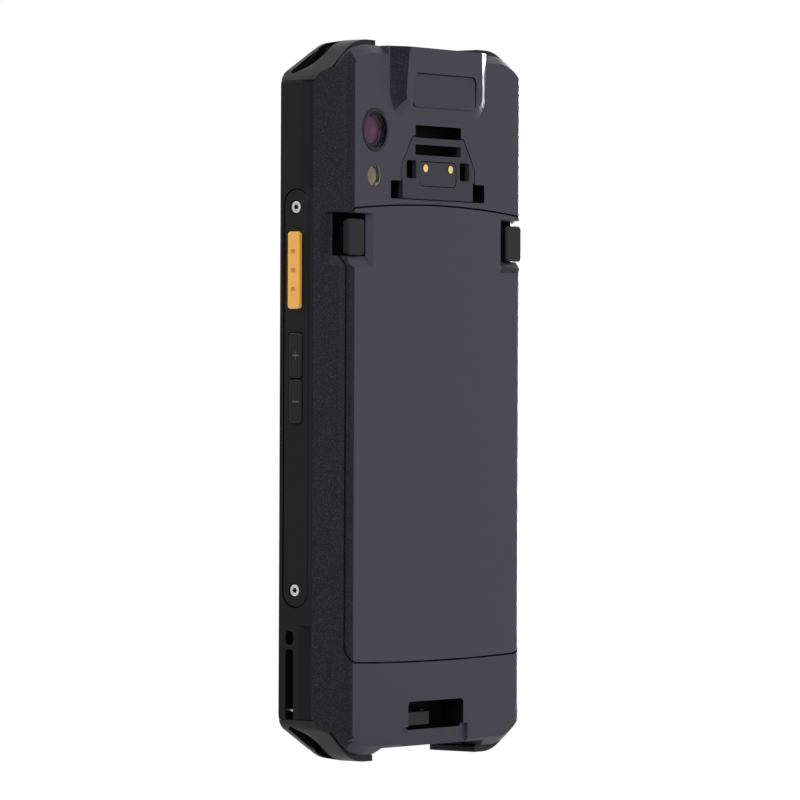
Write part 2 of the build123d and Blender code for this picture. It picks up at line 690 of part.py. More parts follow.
with BuildPart() as front_frame:
    with BuildSketch(back_plane(body_depth)):
        body_outline()
    extrude(amount=body_depth - split_depth - seam)
    add(corner_facets.part, mode=Mode.INTERSECT)
    # seats of the corner bumpers
    with BuildSketch(back_plane(body_depth + 1)):
        corner_seat(0.0)
    extrude(amount=body_depth, mode=Mode.SUBTRACT)
    # inside: rear cavity, display opening and the seat of the cover glass
    with BuildSketch(back_plane(shelf_depth)):
        cavity_outline(0)
    extrude(amount=shelf_depth, mode=Mode.SUBTRACT)
    block(-panel_half - 0.2, panel_half + 0.2, panel_low - 0.2, panel_high + 0.2, shelf_depth - 1,
          body_depth + 1, panel_corner + 0.2, mode=Mode.SUBTRACT)
    block(-glass_half - fit, glass_half + fit, glass_low - fit, glass_high + fit, glass_depth - 0.25,
          body_depth + 1, glass_corner + fit, mode=Mode.SUBTRACT)
    for side in (-1, 1):
        # undercut band along the sides, away from the keys
        for z0, z1 in ((0, undercut_low_end), (undercut_high_end, length)):
            with BuildSketch(Plane.XY.offset(z0)):
                with BuildLine():
                    Polyline(
                        (side * (half_width + 1), back_y + undercut_far + undercut_depth * 1.6),
                        (side * (half_width - undercut_depth), back_y + undercut_far - undercut_depth),
                        (side * (half_width - undercut_depth), back_y + split_depth - 1),
                        (side * (half_width + 1), back_y + split_depth - 1),
                        close=True,
                    )
                make_face()
            extrude(amount=z1 - z0, mode=Mode.SUBTRACT)
        # seat of the side bezel
        with BuildSketch(side_plane(side, half_width - bezel_thickness - seam)):
            with Locations((side * (back_y + bezel_mid), (bezel_low + bezel_high) / 2)):
                SlotOverall(bezel_high - bezel_low + 2 * bezel_gap, bezel_far - bezel_near + 2 * bezel_gap,
                            rotation=90)
        extrude(amount=5, mode=Mode.SUBTRACT)
        # windows behind the keys, wider where the key flanges lie
        low, high = (volume_down_low, volume_up_high) if side < 0 else (power_key_low, power_key_high)
        for near, far, z0, z1 in ((side_key_near, side_key_far, scan_key_low, scan_key_high),
                                  (volume_near, volume_far, low, high)):
            side_block(side, near - 0.8, shelf_depth, z0 - 0.8, z1 + 0.8, cavity_half - 0.4, half_width, 0.8,
                       mode=Mode.SUBTRACT)
            side_block(side, near - 0.8, far + flange_spread + 0.1, z0 - 0.8, z1 + 0.8,
                       flange_in - key_travel - 0.1, half_width, 0.8, mode=Mode.SUBTRACT)
        for z in (bezel_screw_low, bezel_screw_high):
            side_disc(side, bezel_screw_depth, z, screw_radius + 0.05, cavity_half - 0.4, half_width,
                      mode=Mode.SUBTRACT)
        # strap slot with its cross bar
        side_block(side, strap_slot_near, strap_slot_far, strap_slot_low, strap_bar_z - strap_bar_half,
                   half_width - strap_slot_depth, half_width + 1, 0.9, mode=Mode.SUBTRACT)
        side_block(side, strap_slot_near, strap_slot_far, strap_bar_z + strap_bar_half, strap_slot_high,
                   half_width - strap_slot_depth, half_width + 1, 0.9, mode=Mode.SUBTRACT)
        # holes of the pin in the strap slot
        disc(side * (half_width - strap_slot_depth + 0.8), strap_pin_z, strap_pin_radius + 0.05,
             strap_slot_near - 0.9, strap_slot_far + 0.2, mode=Mode.SUBTRACT)
        # bosses of the housing screws
        for screw_z in (screw_low_z, screw_high_z):
            block(side * (board_half + 0.6), side * (cavity_half + 0.8), screw_z - 2, screw_z + 2,
                  well_depth + 0.25, chassis_depth - seam)
            disc(side * screw_x, screw_z, screw_radius + 0.05, split_depth, chassis_depth, mode=Mode.SUBTRACT)
    # receiver, front camera and status light in the shelf above the display
    block(-receiver_half - 0.2, receiver_half + 0.2, receiver_z - 2.7, receiver_z + 2.7, shelf_depth - 1,
          body_depth, mode=Mode.SUBTRACT)
    disc(front_camera_x, receiver_z, front_camera_radius + 0.1, shelf_depth - 1, body_depth,
         mode=Mode.SUBTRACT)
    disc(light_x, receiver_z, light_radius + 0.1, shelf_depth - 1, body_depth, mode=Mode.SUBTRACT)
    # raised foot between the bumpers, with socket, loudspeaker and microphone openings
    block(-foot_half, foot_half, -1, foot_height, 0, body_depth + 1, mode=Mode.SUBTRACT)
    for x, half, thickness in ((0, socket_half + fit, socket_thickness + 2 * fit),
                               (speaker_x, speaker_half + fit, speaker_slot)):
        with BuildSketch(Plane.XY):
            with Locations((x, back_y + socket_depth)):
                SlotOverall(2 * half, thickness)
        extrude(amount=8, mode=Mode.SUBTRACT)
    with BuildSketch(Plane.XY):
        with Locations((microphone_x, back_y + socket_depth)):
            Circle(0.6)
    extrude(amount=8, mode=Mode.SUBTRACT)
    for x_side in (-1, 1):
        for z_sign in (-1, 1):
            hollow = pocket_lens(x_side, z_sign, -bumper_thickness - pocket_recess, -0.5)
            extrude(hollow, amount=10, mode=Mode.SUBTRACT)
save(front_frame.part, "front_frame")

with BuildPart() as housing_envelope:
    with BuildSketch(Plane.XY):
        back_section(-seam, split_depth + seam)
    extrude(amount=length)
    with BuildSketch(back_plane(split_depth + seam)):
        body_outline(-seam)
    extrude(amount=split_depth + 1, mode=Mode.INTERSECT)

with BuildPart() as corner_bumpers:
    with BuildSketch(Plane.XY):
        back_section(0, body_depth)
    extrude(amount=length)
    with BuildSketch(back_plane(body_depth)):
        bumper_outline()
    extrude(amount=body_depth - bumper_near, mode=Mode.INTERSECT)
    add(corner_facets.part, mode=Mode.INTERSECT)
    with BuildSketch(back_plane(body_depth + 1)):
        corner_seat(seam)
    extrude(amount=body_depth, mode=Mode.INTERSECT)
    add(housing_envelope.part, mode=Mode.SUBTRACT)
    for x_side in (-1, 1):
        for z_sign in (-1, 1):
            hollow = pocket_lens(x_side, z_sign, -bumper_thickness - pocket_recess, 0.0)
            extrude(hollow, amount=10, mode=Mode.SUBTRACT)
save(corner_bumpers.part, "corner_bumpers")

# ---- battery pack -----------------------------------------------------------------------------
rim_depth = ledge_depth - 0.2
shell_floor = recess_depth + 0.9
tray_floor = tray_depth - 0.5

with BuildPart() as battery_shell:
    with BuildSketch(Plane.XY):
        back_section(0, split_depth)
    extrude(amount=length)
    with BuildSketch(back_plane(rim_depth)):
        cover_outline()
    extrude(amount=rim_depth + 1, mode=Mode.INTERSECT)
    # hollow inside the rim
    block(-tray_half - 0.1, tray_half + 0.1, tray_low - 0.1, tray_high + 0.1, cover_skin, rim_depth + 1, 1.0,
          mode=Mode.SUBTRACT)
    for side in (-1, 1):
        # thick shoulder that carries the latch
        block(side * shoulder_in, side * tray_half, shoulder_low, tray_high, cover_skin - 0.3, shell_floor)
        latch_recess(side)
        block(side * (stem_in - latch_travel - 0.2), side * (stem_in + stem_width + 0.2), key_low + 1.4,
              key_high - 1.4, recess_depth - 0.5, shell_floor + 1, 0.3, mode=Mode.SUBTRACT)
        # tab that pivots under the housing's edge, rounded about the pivot
        with BuildSketch(side_plane(side, tab_half_gap)) as tab:
            with Locations((side * back_y, cover_low)):
                Circle(tab_radius)
            window(side * (back_y + tab_depth), side * (back_y + tab_radius + 1), cover_low - tab_drop,
                   cover_low + 0.8, mode=Mode.INTERSECT)
        extrude(tab.sketch, amount=tab_width)
save(battery_shell.part, "battery_shell")

with BuildPart() as battery_tray:
    block(-tray_half, tray_half, tray_low, tray_high, tray_floor, tray_depth, 0.8)
    block(-tray_half, tray_half, tray_low, shoulder_low - 0.1, cover_skin + seam, tray_floor + 0.1, 0.8)
    block(-shoulder_in + 0.1, shoulder_in - 0.1, shoulder_low - 1, tray_high, cover_skin + seam,
          tray_floor + 0.1)
    block(-tray_half + tray_wall, tray_half - tray_wall, tray_low + tray_wall,
          shoulder_low - 0.1 - tray_wall, 0,
          tray_floor, mode=Mode.SUBTRACT)
    block(-shoulder_in - 1, shoulder_in + 1, shoulder_low - 0.05, tray_high - tray_wall, 0, tray_floor,
          mode=Mode.SUBTRACT)
    for side in (-1, 1):
        # seats of the latch springs
        block(side * (spring_seat - 1.2), side * spring_seat, hook_mid - 3, hook_mid + 3, cover_skin + seam,
              tray_floor + 0.1)
    with BuildSketch(back_plane(tray_depth + 1)):
        with Locations((0, terminal_z)):
            with GridLocations(terminal_pitch, 1, terminal_count, 1):
                Rectangle(1.8, 4.2)
    extrude(amount=3, mode=Mode.SUBTRACT)
save(battery_tray.part, "battery_tray")

with BuildPart() as battery_cell:
    block(-tray_half + tray_wall + 0.4, tray_half - tray_wall - 0.4, tray_low + 13.4, shoulder_low - 1.4,
          cover_skin + 0.1, tray_floor - 0.1, 2.0)
    fillet(battery_cell.edges().filter_by(Axis.Z), 1.5)
save(battery_cell.part, "battery_cell")

with BuildPart() as battery_board:
    block(-14, 14, tray_low + 1.4, tray_low + 12.8, tray_floor - 1.4, tray_floor - 0.6, 0.5)
    for x in (-10, 10):
        block(x - 2.2, x + 2.2, terminal_z - 3, terminal_z + 1, tray_floor - 2.6, tray_floor - 1.4)
    block(-terminal_half - 1.6, terminal_half + 1.6, terminal_z - 2.4, terminal_z + 2.4, tray_floor - 0.6,
          tray_floor - 0.05)
save(battery_board.part, "battery_board")

with BuildPart() as battery_terminals:
    with BuildSketch(back_plane(tray_depth - 0.05)):
        with Locations((0, terminal_z)):
            with GridLocations(terminal_pitch, 1, terminal_count, 1):
                RectangleRounded(1.6, 4.0, 0.3)
    extrude(amount=0.45)
save(battery_terminals.part, "battery_terminals")

with BuildPart() as battery_seal:
    with BuildSketch(back_plane(tray_depth + pack_clearance - seam)):
        for half, reach, corner, mode in ((terminal_half + 3.7, 4.7, 1.2, Mode.ADD),
                                          (terminal_half + 2.5, 3.5, 0.6, Mode.SUBTRACT)):
            window(-half, half, terminal_z - reach, terminal_z + reach, corner, mode=mode)
    extrude(amount=pack_clearance - 2 * seam)
save(battery_seal.part, "battery_seal")


def latch(side):
    """A latch: the finger key, its stem, the sliding hook plate and the spring's guide pin."""
    with BuildPart() as piece:
        block(side * key_in, side * key_out, key_low, key_high, key_sink, key_sink + key_thickness,
              key_corner)
        outer = piece.faces().sort_by(Axis.Y)[0]
        fillet(outer.edges(), 0.45)
        block(side * stem_in, side * (stem_in + stem_width), key_low + 1.8, key_high - 1.8,
              key_sink + key_thickness - 0.2, hook_depth + 0.3)
        block(side * latch_in, side * hook_reach, hook_mid - hook_half, hook_mid + hook_half, hook_depth,
              hook_depth + hook_thickness)
        block(side * latch_in, side * (shoulder_in - 0.1), hook_mid - hook_half, hook_mid + hook_half,
              spring_depth - 1.4, hook_depth + hook_thickness)
        side_disc(side, spring_depth, hook_mid, 0.4, spring_seat + latch_travel + 0.3, latch_in + 0.3)
    return piece.part


save(latch(-1), "latch_left")
save(latch(1), "latch_right")

with BuildPart() as latch_springs:
    for side in (-1, 1):
        start = side * (spring_seat + spring_wire / 2 + seam)
        reach = latch_in - latch_travel - spring_seat - spring_wire - 3 * seam
        with BuildLine() as coil:
            Helix(reach / spring_turns, reach, spring_radius, center=(start, back_y + spring_depth, hook_mid),
                  direction=(side, 0, 0))
        with BuildSketch(Plane(origin=coil.line @ 0, z_dir=coil.line % 0)) as wire:
            Circle(spring_wire / 2)
        sweep(wire.sketch, path=coil.line, is_frenet=True)
save(latch_springs.part, "latch_springs")

# ---- camera, flash and scan engine ------------------------------------------------------------
with BuildPart() as camera_ring:
    disc(camera_x, camera_z, camera_radius, -0.2, wall)
    fillet(camera_ring.faces().sort_by(Axis.Y)[0].edges(), 0.25)
    disc(camera_x, camera_z, camera_glass_radius + 0.05, -1, 1.1, mode=Mode.SUBTRACT)
    disc(camera_x, camera_z, camera_glass_radius - 0.6, -1, 3, mode=Mode.SUBTRACT)
save(camera_ring.part, "camera_ring")

with BuildPart() as camera_window:
    disc(camera_x, camera_z, camera_glass_radius, 0.1, 1.05)
save(camera_window.part, "camera_window")

with BuildPart() as camera_module:
    with BuildSketch(back_plane(board_depth - seam)):
        with Locations((camera_x, camera_z)):
            RectangleRounded(8.6, 8.6, 0.6)
    extrude(amount=board_depth - 4.6)
    disc(camera_x, camera_z, 3.3, wall + seam, 5)
    disc(camera_x, camera_z, 2.3, 0, 2.6, mode=Mode.SUBTRACT)
    disc(camera_x, camera_z, 1.5, 0, 3.3, mode=Mode.SUBTRACT)
save(camera_module.part, "camera_module")

with BuildPart() as flash_lens:
    disc(flash_x, flash_z, flash_radius, 0.0, wall + 0.1)
    disc(flash_x, flash_z, flash_radius + 0.5, wall + seam, wall + 0.5)
save(flash_lens.part, "flash_lens")

with BuildPart() as flash_led:
    with BuildSketch(back_plane(board_depth - seam)):
        with Locations((flash_x, flash_z)):
            RectangleRounded(4.2, 4.2, 0.4)
    extrude(amount=board_depth - 3.6)
    with BuildSketch(back_plane(4)):
        with Locations((flash_x, flash_z)):
            RectangleRounded(2.2, 2.2, 0.3)
    extrude(amount=1.3)
save(flash_led.part, "flash_led")

with BuildPart() as scan_engine:
    block(-engine_half, engine_half, engine_low, engine_high, engine_near, engine_far, 0.4)
    engine_mid = (engine_near + engine_far) / 2
    with BuildSketch(Plane.XY.offset(engine_high + 1)):
        with Locations((-6, back_y + engine_mid)):
            Circle(2.1)
        with Locations((0.2, back_y + engine_mid)):
            Circle(1.2)
        with Locations((6, back_y + engine_mid)):
            Rectangle(5, 3.6)
    extrude(amount=-2.2, mode=Mode.SUBTRACT)
save(scan_engine.part, "scan_engine")

with BuildPart() as scan_window:
    block(-beam_half + 0.1, beam_half - 0.1, engine_high + 0.7, body_high - 0.4, 0.1, beam_depth)
    block(-beam_half - 1.0, beam_half + 1.0, engine_high + 0.2, body_high - wall - 0.3, 0.1,
          split_depth - 0.4)
save(scan_window.part, "scan_window")

with BuildPart() as scan_engine_mount:
    block(-engine_half - 1.2, engine_half + 1.2, engine_low - 0.6, engine_high - 0.8, engine_far + seam,
          engine_far + seam + 1.0, 0.4)
    for side in (-1, 1):
        block(side * (engine_half + 0.1), side * (engine_half + 1.2), engine_low, engine_high - 1,
              engine_near + 2.7,
              engine_far + 0.4)
        for z in (engine_low + 0.8, engine_low + 4.4):
            disc(side * (engine_half - 1.4), z, 1.3, engine_far + 1.0, board_depth - seam)
save(scan_engine_mount.part, "scan_engine_mount")

# ---- accessory plate --------------------------------------------------------------------------
with BuildPart() as accessory_plate:
    with BuildSketch(back_plane(plate_thickness - seam)):
        with BuildLine():
            FilletPolyline(
                (-plate_low_half, plate_low),
                (plate_low_half, plate_low),
                (plate_mid_half, plate_shoulder),
                (plate_high_half, plate_high),
                (-plate_high_half, plate_high),
                (-plate_mid_half, plate_shoulder),
                radius=[0.5, 0.5, 0.8, 1.2, 1.2, 0.8],
                close=True,
            )
        make_face()
        window(-slot_half, slot_half, inner_slot_low, inner_slot_high, 0.4, mode=Mode.SUBTRACT)
        window(-slot_half, slot_half, slot_low, slot_high, 0.4, mode=Mode.SUBTRACT)
        window(-insert_half - fit, insert_half + fit, insert_low - fit, insert_high + fit, insert_corner,
               mode=Mode.SUBTRACT)
        for side in (-1, 1):
            window(side * side_pocket_in, side * side_pocket_out, side_pocket_low, side_pocket_high, 0.6,
                   mode=Mode.SUBTRACT)
            window(side * (foot_pocket_in - 0.4), side * foot_pocket_out, foot_pocket_low - 1,
                   foot_pocket_high + 0.3, mode=Mode.SUBTRACT)
    extrude(amount=plate_thickness - seam)
save(accessory_plate.part, "accessory_plate")

with BuildPart() as accessory_insert:
    with BuildSketch(back_plane(plate_thickness - seam)):
        window(-insert_half, insert_half, insert_low, insert_high, insert_corner - fit)
        for side in (-1, 1):
            with Locations((side * contact_x, contact_z)):
                Circle(contact_radius + 0.05, mode=Mode.SUBTRACT)
    extrude(amount=plate_thickness - seam - 0.1)
save(accessory_insert.part, "accessory_insert")

with BuildPart() as accessory_contacts:
    for side in (-1, 1):
        disc(side * contact_x, contact_z, contact_radius, 0.0, plate_thickness - 0.1)
save(accessory_contacts.part, "accessory_contacts")

# ---- strap anchor -----------------------------------------------------------------------------
anchor_mid = (anchor_low + anchor_high) / 2

with BuildPart() as strap_anchor:
    block(-notch_half + 0.1, anchor_end, anchor_low, anchor_high, anchor_depth,
          anchor_depth + anchor_thickness, 0.3)
    block(-notch_half + 0.1, -notch_half + 1.4, anchor_low, anchor_high, anchor_depth, notch_depth - seam)
    block(anchor_end - 1.2, anchor_end, anchor_low, anchor_high, anchor_depth, notch_depth - seam)
    block(-notch_half + 0.1, anchor_end, anchor_low, anchor_high, notch_depth - 1.1, notch_depth - seam)
    disc(anchor_screw_x, anchor_mid, 1.9, notch_depth - 1.1, notch_depth - seam)
    block(anchor_end - 0.6, anchor_screw_x, anchor_low, anchor_high, notch_depth - 1.1, notch_depth - seam)
    disc(anchor_screw_x, anchor_mid, 0.85, 0, notch_depth + 1, mode=Mode.SUBTRACT)
save(strap_anchor.part, "strap_anchor")

with BuildPart() as strap_screw:
    disc(anchor_screw_x, anchor_mid, anchor_screw_radius, notch_depth - 2.2, notch_depth - 1.1 - seam)
    fillet(strap_screw.faces().sort_by(Axis.Y)[0].edges(), 0.35)
    disc(anchor_screw_x, anchor_mid, 0.7, notch_depth - 1.5, split_depth - 0.2)
    with BuildSketch(back_plane(notch_depth - 1.6)):
        with Locations((anchor_screw_x, anchor_mid)):
            lobed_recess(0.55)
    extrude(amount=2, mode=Mode.SUBTRACT)
save(strap_screw.part, "strap_screw")

with BuildPart() as strap_pins:
    for side in (-1, 1):
        disc(side * (half_width - strap_slot_depth + 0.8), strap_pin_z, strap_pin_radius,
             strap_slot_near - 0.8,
             strap_slot_far + 0.15)
save(strap_pins.part, "strap_pins")

# ---- front: glass, display and what lies round them -------------------------------------------
with BuildPart() as cover_glass:
    block(-glass_half, glass_half, glass_low, glass_high, glass_depth, glass_depth + glass_thickness,
          glass_corner)
    fillet(cover_glass.faces().sort_by(Axis.Y)[-1].edges(), 0.3)
    with BuildSketch(back_plane(body_depth)):
        with Locations((0, receiver_z + 1.4)):
            SlotOverall(11.0, 1.4)
    extrude(amount=3, mode=Mode.SUBTRACT)
save(cover_glass.part, "cover_glass")

with BuildPart() as receiver_mesh:
    with BuildSketch(back_plane(glass_depth + 0.7)):
        with Locations((0, receiver_z + 1.4)):
            SlotOverall(10.9, 1.3)
    extrude(amount=0.4)
save(receiver_mesh.part, "receiver_mesh")

with BuildPart() as display_panel:
    block(-panel_half, panel_half, panel_low, panel_high, panel_depth, panel_depth + panel_thickness,
          panel_corner)
save(display_panel.part, "display_panel")

with BuildPart() as display_gasket:
    with BuildSketch(back_plane(glass_depth - 0.03)):
        window(-gasket_half, gasket_half, glass_low + 0.3, glass_high - 0.3, glass_corner - 0.3)
        window(-gasket_half + gasket_band, gasket_half - gasket_band, panel_low - 1.4, panel_high + 1.4, 3.0,
               mode=Mode.SUBTRACT)
        window(-receiver_half - 0.3, receiver_half + 0.3, receiver_z - 2.8, receiver_z + 2.8,
               mode=Mode.SUBTRACT)
        with Locations((front_camera_x, receiver_z)):
            Circle(front_camera_radius + 0.3, mode=Mode.SUBTRACT)
        with Locations((light_x, receiver_z)):
            Circle(light_radius + 0.3, mode=Mode.SUBTRACT)
    extrude(amount=0.19)
save(display_gasket.part, "display_gasket")

with BuildPart() as receiver:
    block(-receiver_half, receiver_half, receiver_z - 2.5, receiver_z + 2.5, panel_depth,
          glass_depth - 0.1, 0.6)
save(receiver.part, "receiver")

with BuildPart() as front_camera:
    disc(front_camera_x, receiver_z, front_camera_radius, panel_depth, glass_depth - 0.1)
    disc(front_camera_x, receiver_z, 1.3, glass_depth - 0.5, glass_depth + 1, mode=Mode.SUBTRACT)
save(front_camera.part, "front_camera")

with BuildPart() as status_light:
    disc(light_x, receiver_z, light_radius, panel_depth, glass_depth - 0.1)
save(status_light.part, "status_light")

# ---- chassis plate and main board -------------------------------------------------------------
# screws of the board: two below the battery well, four above it
post_spots = [(-12, well_low - 5.4), (22, well_low - 5.4)]
post_spots += [(side * x, z) for side in (-1, 1) for x, z in ((15, well_high - 1.4), (17, glass_high - 9.2))]
lip_zones = ((volume_down_low - 1.6, screw_high_z - 2.7), (screw_high_z + 2.7, scan_key_high + 1.5))

with BuildPart() as chassis_plate:
    with BuildSketch(back_plane(chassis_depth + chassis_thickness)):
        cavity_outline(0.5)
    extrude(amount=chassis_thickness)
    for x, z in post_spots:
        disc(x, z, 2.0, board_depth + board_thickness + seam, chassis_depth + 0.1)
        disc(x, z, screw_radius + 0.05, 0, chassis_depth + 2, mode=Mode.SUBTRACT)
    for side in (-1, 1):
        for z0, z1 in lip_zones:
            block(side * lip_x, side * (lip_x + lip_thickness), z0, z1, flex_near - 0.1, chassis_depth + 0.1)
    block(-socket_half - 0.6, socket_half + 0.6, 0, socket_high + 0.7, chassis_depth - 1, shelf_depth,
          mode=Mode.SUBTRACT)
save(chassis_plate.part, "chassis_plate")

with BuildPart() as main_board:
    with BuildSketch(back_plane(board_depth + board_thickness)):
        window(-board_half, board_half, board_low, glass_high - 4.8, 6.0)
        window(-socket_half - fit, socket_half + fit, board_low - 3, socket_high + 0.1, mode=Mode.SUBTRACT)
        for x, z in post_spots:
            with Locations((x, z)):
                Circle(screw_radius + 0.05, mode=Mode.SUBTRACT)
    extrude(amount=board_thickness)
save(main_board.part, "main_board")

with BuildPart() as chassis_screws:
    for x, z in post_spots:
        disc(x, z, 1.3, board_depth - seam - 0.65, board_depth - seam)
        disc(x, z, screw_radius, board_depth - 0.3, chassis_depth + 0.8)
save(chassis_screws.part, "chassis_screws")

card_out = board_half - 0.5
card_in = card_out - 9

with BuildPart() as shield_cans:
    for x0, x1 in ((camera_x + 7.4, 2), (4, card_in - 2.5)):
        block(x0, x1, well_high + 0.5, slot_high + 0.6, board_depth - seam - 2.6, board_depth - seam, 0.6)
save(shield_cans.part, "shield_cans")

with BuildPart() as card_holder:
    block(card_in, card_out, plate_low - 0.9, plate_low + 16.3, board_depth - 1.6, board_depth - seam, 0.5)
    block(card_in + 1.1, card_out - 1.1, plate_low - 0.1, plate_low + 15.5, board_depth - 1.1,
          board_depth - 0.5,
          mode=Mode.SUBTRACT)
save(card_holder.part, "card_holder")

with BuildPart() as wireless_antenna:
    with BuildSketch(back_plane(wall + 0.3 + seam)):
        low, high = plate_low + 4.3, body_high - 8.6
        window(boss_half + 0.8, half_width - 9.1, low, high, 1.0)
        window(boss_half + 2.2, half_width - 10.5, low + 2, high - 2, 0.5, mode=Mode.SUBTRACT)
        window(boss_half + 4.5, boss_half + 5.7, low + 0.5, high - 0.5)
    extrude(amount=0.3)
save(wireless_antenna.part, "wireless_antenna")

with BuildPart() as battery_connector:
    block(-terminal_half - 1.9, terminal_half + 1.9, terminal_z - 3, terminal_z + 3, tray_depth + 0.7,
          board_depth - seam, 0.4)
    with BuildSketch(back_plane(board_depth)):
        with Locations((0, terminal_z)):
            with GridLocations(terminal_pitch, 1, terminal_count, 1):
                Rectangle(1.3, 4.3)
    extrude(amount=4, mode=Mode.SUBTRACT)
save(battery_connector.part, "battery_connector")

with BuildPart() as connector_springs:
    with BuildSketch(back_plane(board_depth - seam)):
        with Locations((0, terminal_z)):
            with GridLocations(terminal_pitch, 1, terminal_count, 1):
                Rectangle(1.1, 4.0)
    extrude(amount=board_depth - tray_depth - 0.55)
    with BuildSketch(back_plane(tray_depth + 0.6)):
        with Locations((0, terminal_z)):
            with GridLocations(terminal_pitch, 1, terminal_count, 1):
                Rectangle(1.1, 1.6)
    extrude(amount=0.5)
save(connector_springs.part, "connector_springs")

# ---- foot of the device -----------------------------------------------------------------------
with BuildPart() as usb_socket:
    with BuildSketch(Plane.XY.offset(socket_low)):
        with Locations((0, back_y + socket_depth)):
            SlotOverall(2 * socket_half, socket_thickness)
    extrude(amount=socket_length)
    with BuildSketch(Plane.XY.offset(socket_low - 0.1)):
        with Locations((0, back_y + socket_depth)):
            SlotOverall(2 * socket_half - 0.7, socket_thickness - 0.7)
            Rectangle(5.6, 0.7, mode=Mode.SUBTRACT)
    extrude(amount=socket_length - 4.9, mode=Mode.SUBTRACT)
save(usb_socket.part, "usb_socket")

with BuildPart() as speaker:
    block(speaker_x - speaker_width / 2, speaker_x + speaker_width / 2, body_low + cavity_inset + 0.1,
          body_low + cavity_inset + 0.1 + speaker_height, split_depth + 1.2, chassis_depth - seam, 0.8)
save(speaker.part, "speaker")

with BuildPart() as speaker_mesh:
    with BuildSketch(Plane.XY.offset(foot_height + 0.5)):
        with Locations((speaker_x, back_y + socket_depth)):
            SlotOverall(2 * speaker_half + 0.1, speaker_slot - 0.2)
    extrude(amount=0.4)
save(speaker_mesh.part, "speaker_mesh")

with BuildPart() as microphone:
    block(microphone_x - 2, microphone_x + 2, body_low + cavity_inset + 0.1, body_low + cavity_inset + 2.7,
          chassis_depth - 1.25, chassis_depth - seam, 0.3)
save(microphone.part, "microphone")

with BuildPart() as vibration_motor:
    with BuildSketch(Plane.YZ.offset(4 - board_half)):
        with Locations((back_y + board_depth - 2.05, board_low + 3.6)):
            Circle(2.0)
    extrude(amount=8)
save(vibration_motor.part, "vibration_motor")

# ---- side bezels, keys and their flexes -------------------------------------------------------
def bezel(side, openings):
    """A stadium-shaped side bezel with windows for its keys and two screw seats."""
    with BuildPart() as piece:
        with BuildSketch(side_plane(side, half_width - bezel_thickness)) as plate:
            with Locations((side * (back_y + bezel_mid), (bezel_low + bezel_high) / 2)):
                SlotOverall(bezel_high - bezel_low, bezel_far - bezel_near, rotation=90)
        extrude(plate.sketch, amount=bezel_thickness)
        chamfer(piece.faces().sort_by(Axis.X)[0 if side < 0 else -1].edges(), 0.25)
        for near, far, z0, z1 in openings:
            side_block(side, near - key_fit, far + key_fit, z0 - key_fit, z1 + key_fit, half_width - 4,
                       half_width + 1, 0.9, mode=Mode.SUBTRACT)
        for z in (bezel_screw_low, bezel_screw_high):
            side_disc(side, bezel_screw_depth, z, bezel_screw_radius + 0.2, half_width - 1.25, half_width + 1,
                      mode=Mode.SUBTRACT)
            side_disc(side, bezel_screw_depth, z, screw_radius + fit, half_width - 4, half_width,
                      mode=Mode.SUBTRACT)
    return piece.part


def key(side, near, far, z0, z1, rise, low_spread=flange_spread, high_spread=flange_spread):
    """A key cap with a flange behind the bezel; its outer edges are rounded."""
    with BuildPart() as piece:
        side_block(side, near, far, z0, z1, flange_out - 0.3, half_width + rise, 0.8)
        fillet(piece.faces().sort_by(Axis.X)[0 if side < 0 else -1].edges(), min(0.35, rise + 0.1))
        side_block(side, near - flange_spread, far + flange_spread, z0 - low_spread, z1 + high_spread,
                   flange_in, flange_out, 0.8)
    return piece


def scan_key(side):
    """The scan key with its three square pips."""
    body = key(side, side_key_near, side_key_far, scan_key_low, scan_key_high, scan_key_rise - 0.12)
    with BuildPart() as piece:
        add(body.part)
        middle = (scan_key_low + scan_key_high) / 2
        for step in (-1, 0, 1):
            z = middle + step * pip_pitch
            depth = (side_key_near + side_key_far) / 2
            side_block(side, depth - pip_size / 2, depth + pip_size / 2, z - pip_size / 2, z + pip_size / 2,
                       half_width + scan_key_rise - 0.5, half_width + scan_key_rise, 0.15)
    return piece.part


def marked_key(z0, z1, upright):
    """A volume key with an engraved bar, crossed by a second one on the louder side."""
    low_spread = 0 if upright else flange_spread
    high_spread = flange_spread if upright else 0
    body = key(-1, volume_near, volume_far, z0, z1, volume_rise, low_spread, high_spread)
    with BuildPart() as piece:
        add(body.part)
        depth = (volume_near + volume_far) / 2
        z = (z0 + z1) / 2
        side_block(-1, depth - 1.1, depth + 1.1, z - 0.2, z + 0.2, half_width + volume_rise - 0.2,
                   half_width + 1,
                   mode=Mode.SUBTRACT)
        if upright:
            side_block(-1, depth - 0.2, depth + 0.2, z - 1.1, z + 1.1, half_width + volume_rise - 0.2,
                       half_width + 1, mode=Mode.SUBTRACT)
    return piece.part


scan_opening = (side_key_near, side_key_far, scan_key_low, scan_key_high)
up_opening = (volume_near, volume_far, volume_up_low, volume_up_high)
down_opening = (volume_near, volume_far, volume_down_low, volume_down_high)
power_opening = (volume_near, volume_far, power_key_low, power_key_high)
save(bezel(-1, (scan_opening, up_opening, down_opening)), "side_bezel_left")
save(bezel(1, (scan_opening, power_opening)), "side_bezel_right")
save(scan_key(-1), "scan_key_left")
save(scan_key(1), "scan_key_right")
save(marked_key(volume_up_low, volume_up_high, True), "volume_up_key")
save(marked_key(volume_down_low, volume_down_high, False), "volume_down_key")
save(key(1, volume_near, volume_far, power_key_low, power_key_high, volume_rise).part, "power_key")

flex_x = lip_x + lip_thickness + seam
flex_out = flex_x + flex_thickness


def key_flex(side):
    """The flexible strip behind the keys of one side, narrower where it passes a screw boss."""
    with BuildPart() as piece:
        for z0, z1 in lip_zones:
            side_block(side, flex_near, chassis_depth - 0.15, z0 - 0.5, z1, flex_x, flex_out, 0.5)
        side_block(side, flex_near, flex_near + 1.0, lip_zones[0][0], lip_zones[1][1] - 1, flex_x, flex_out)
    return piece.part


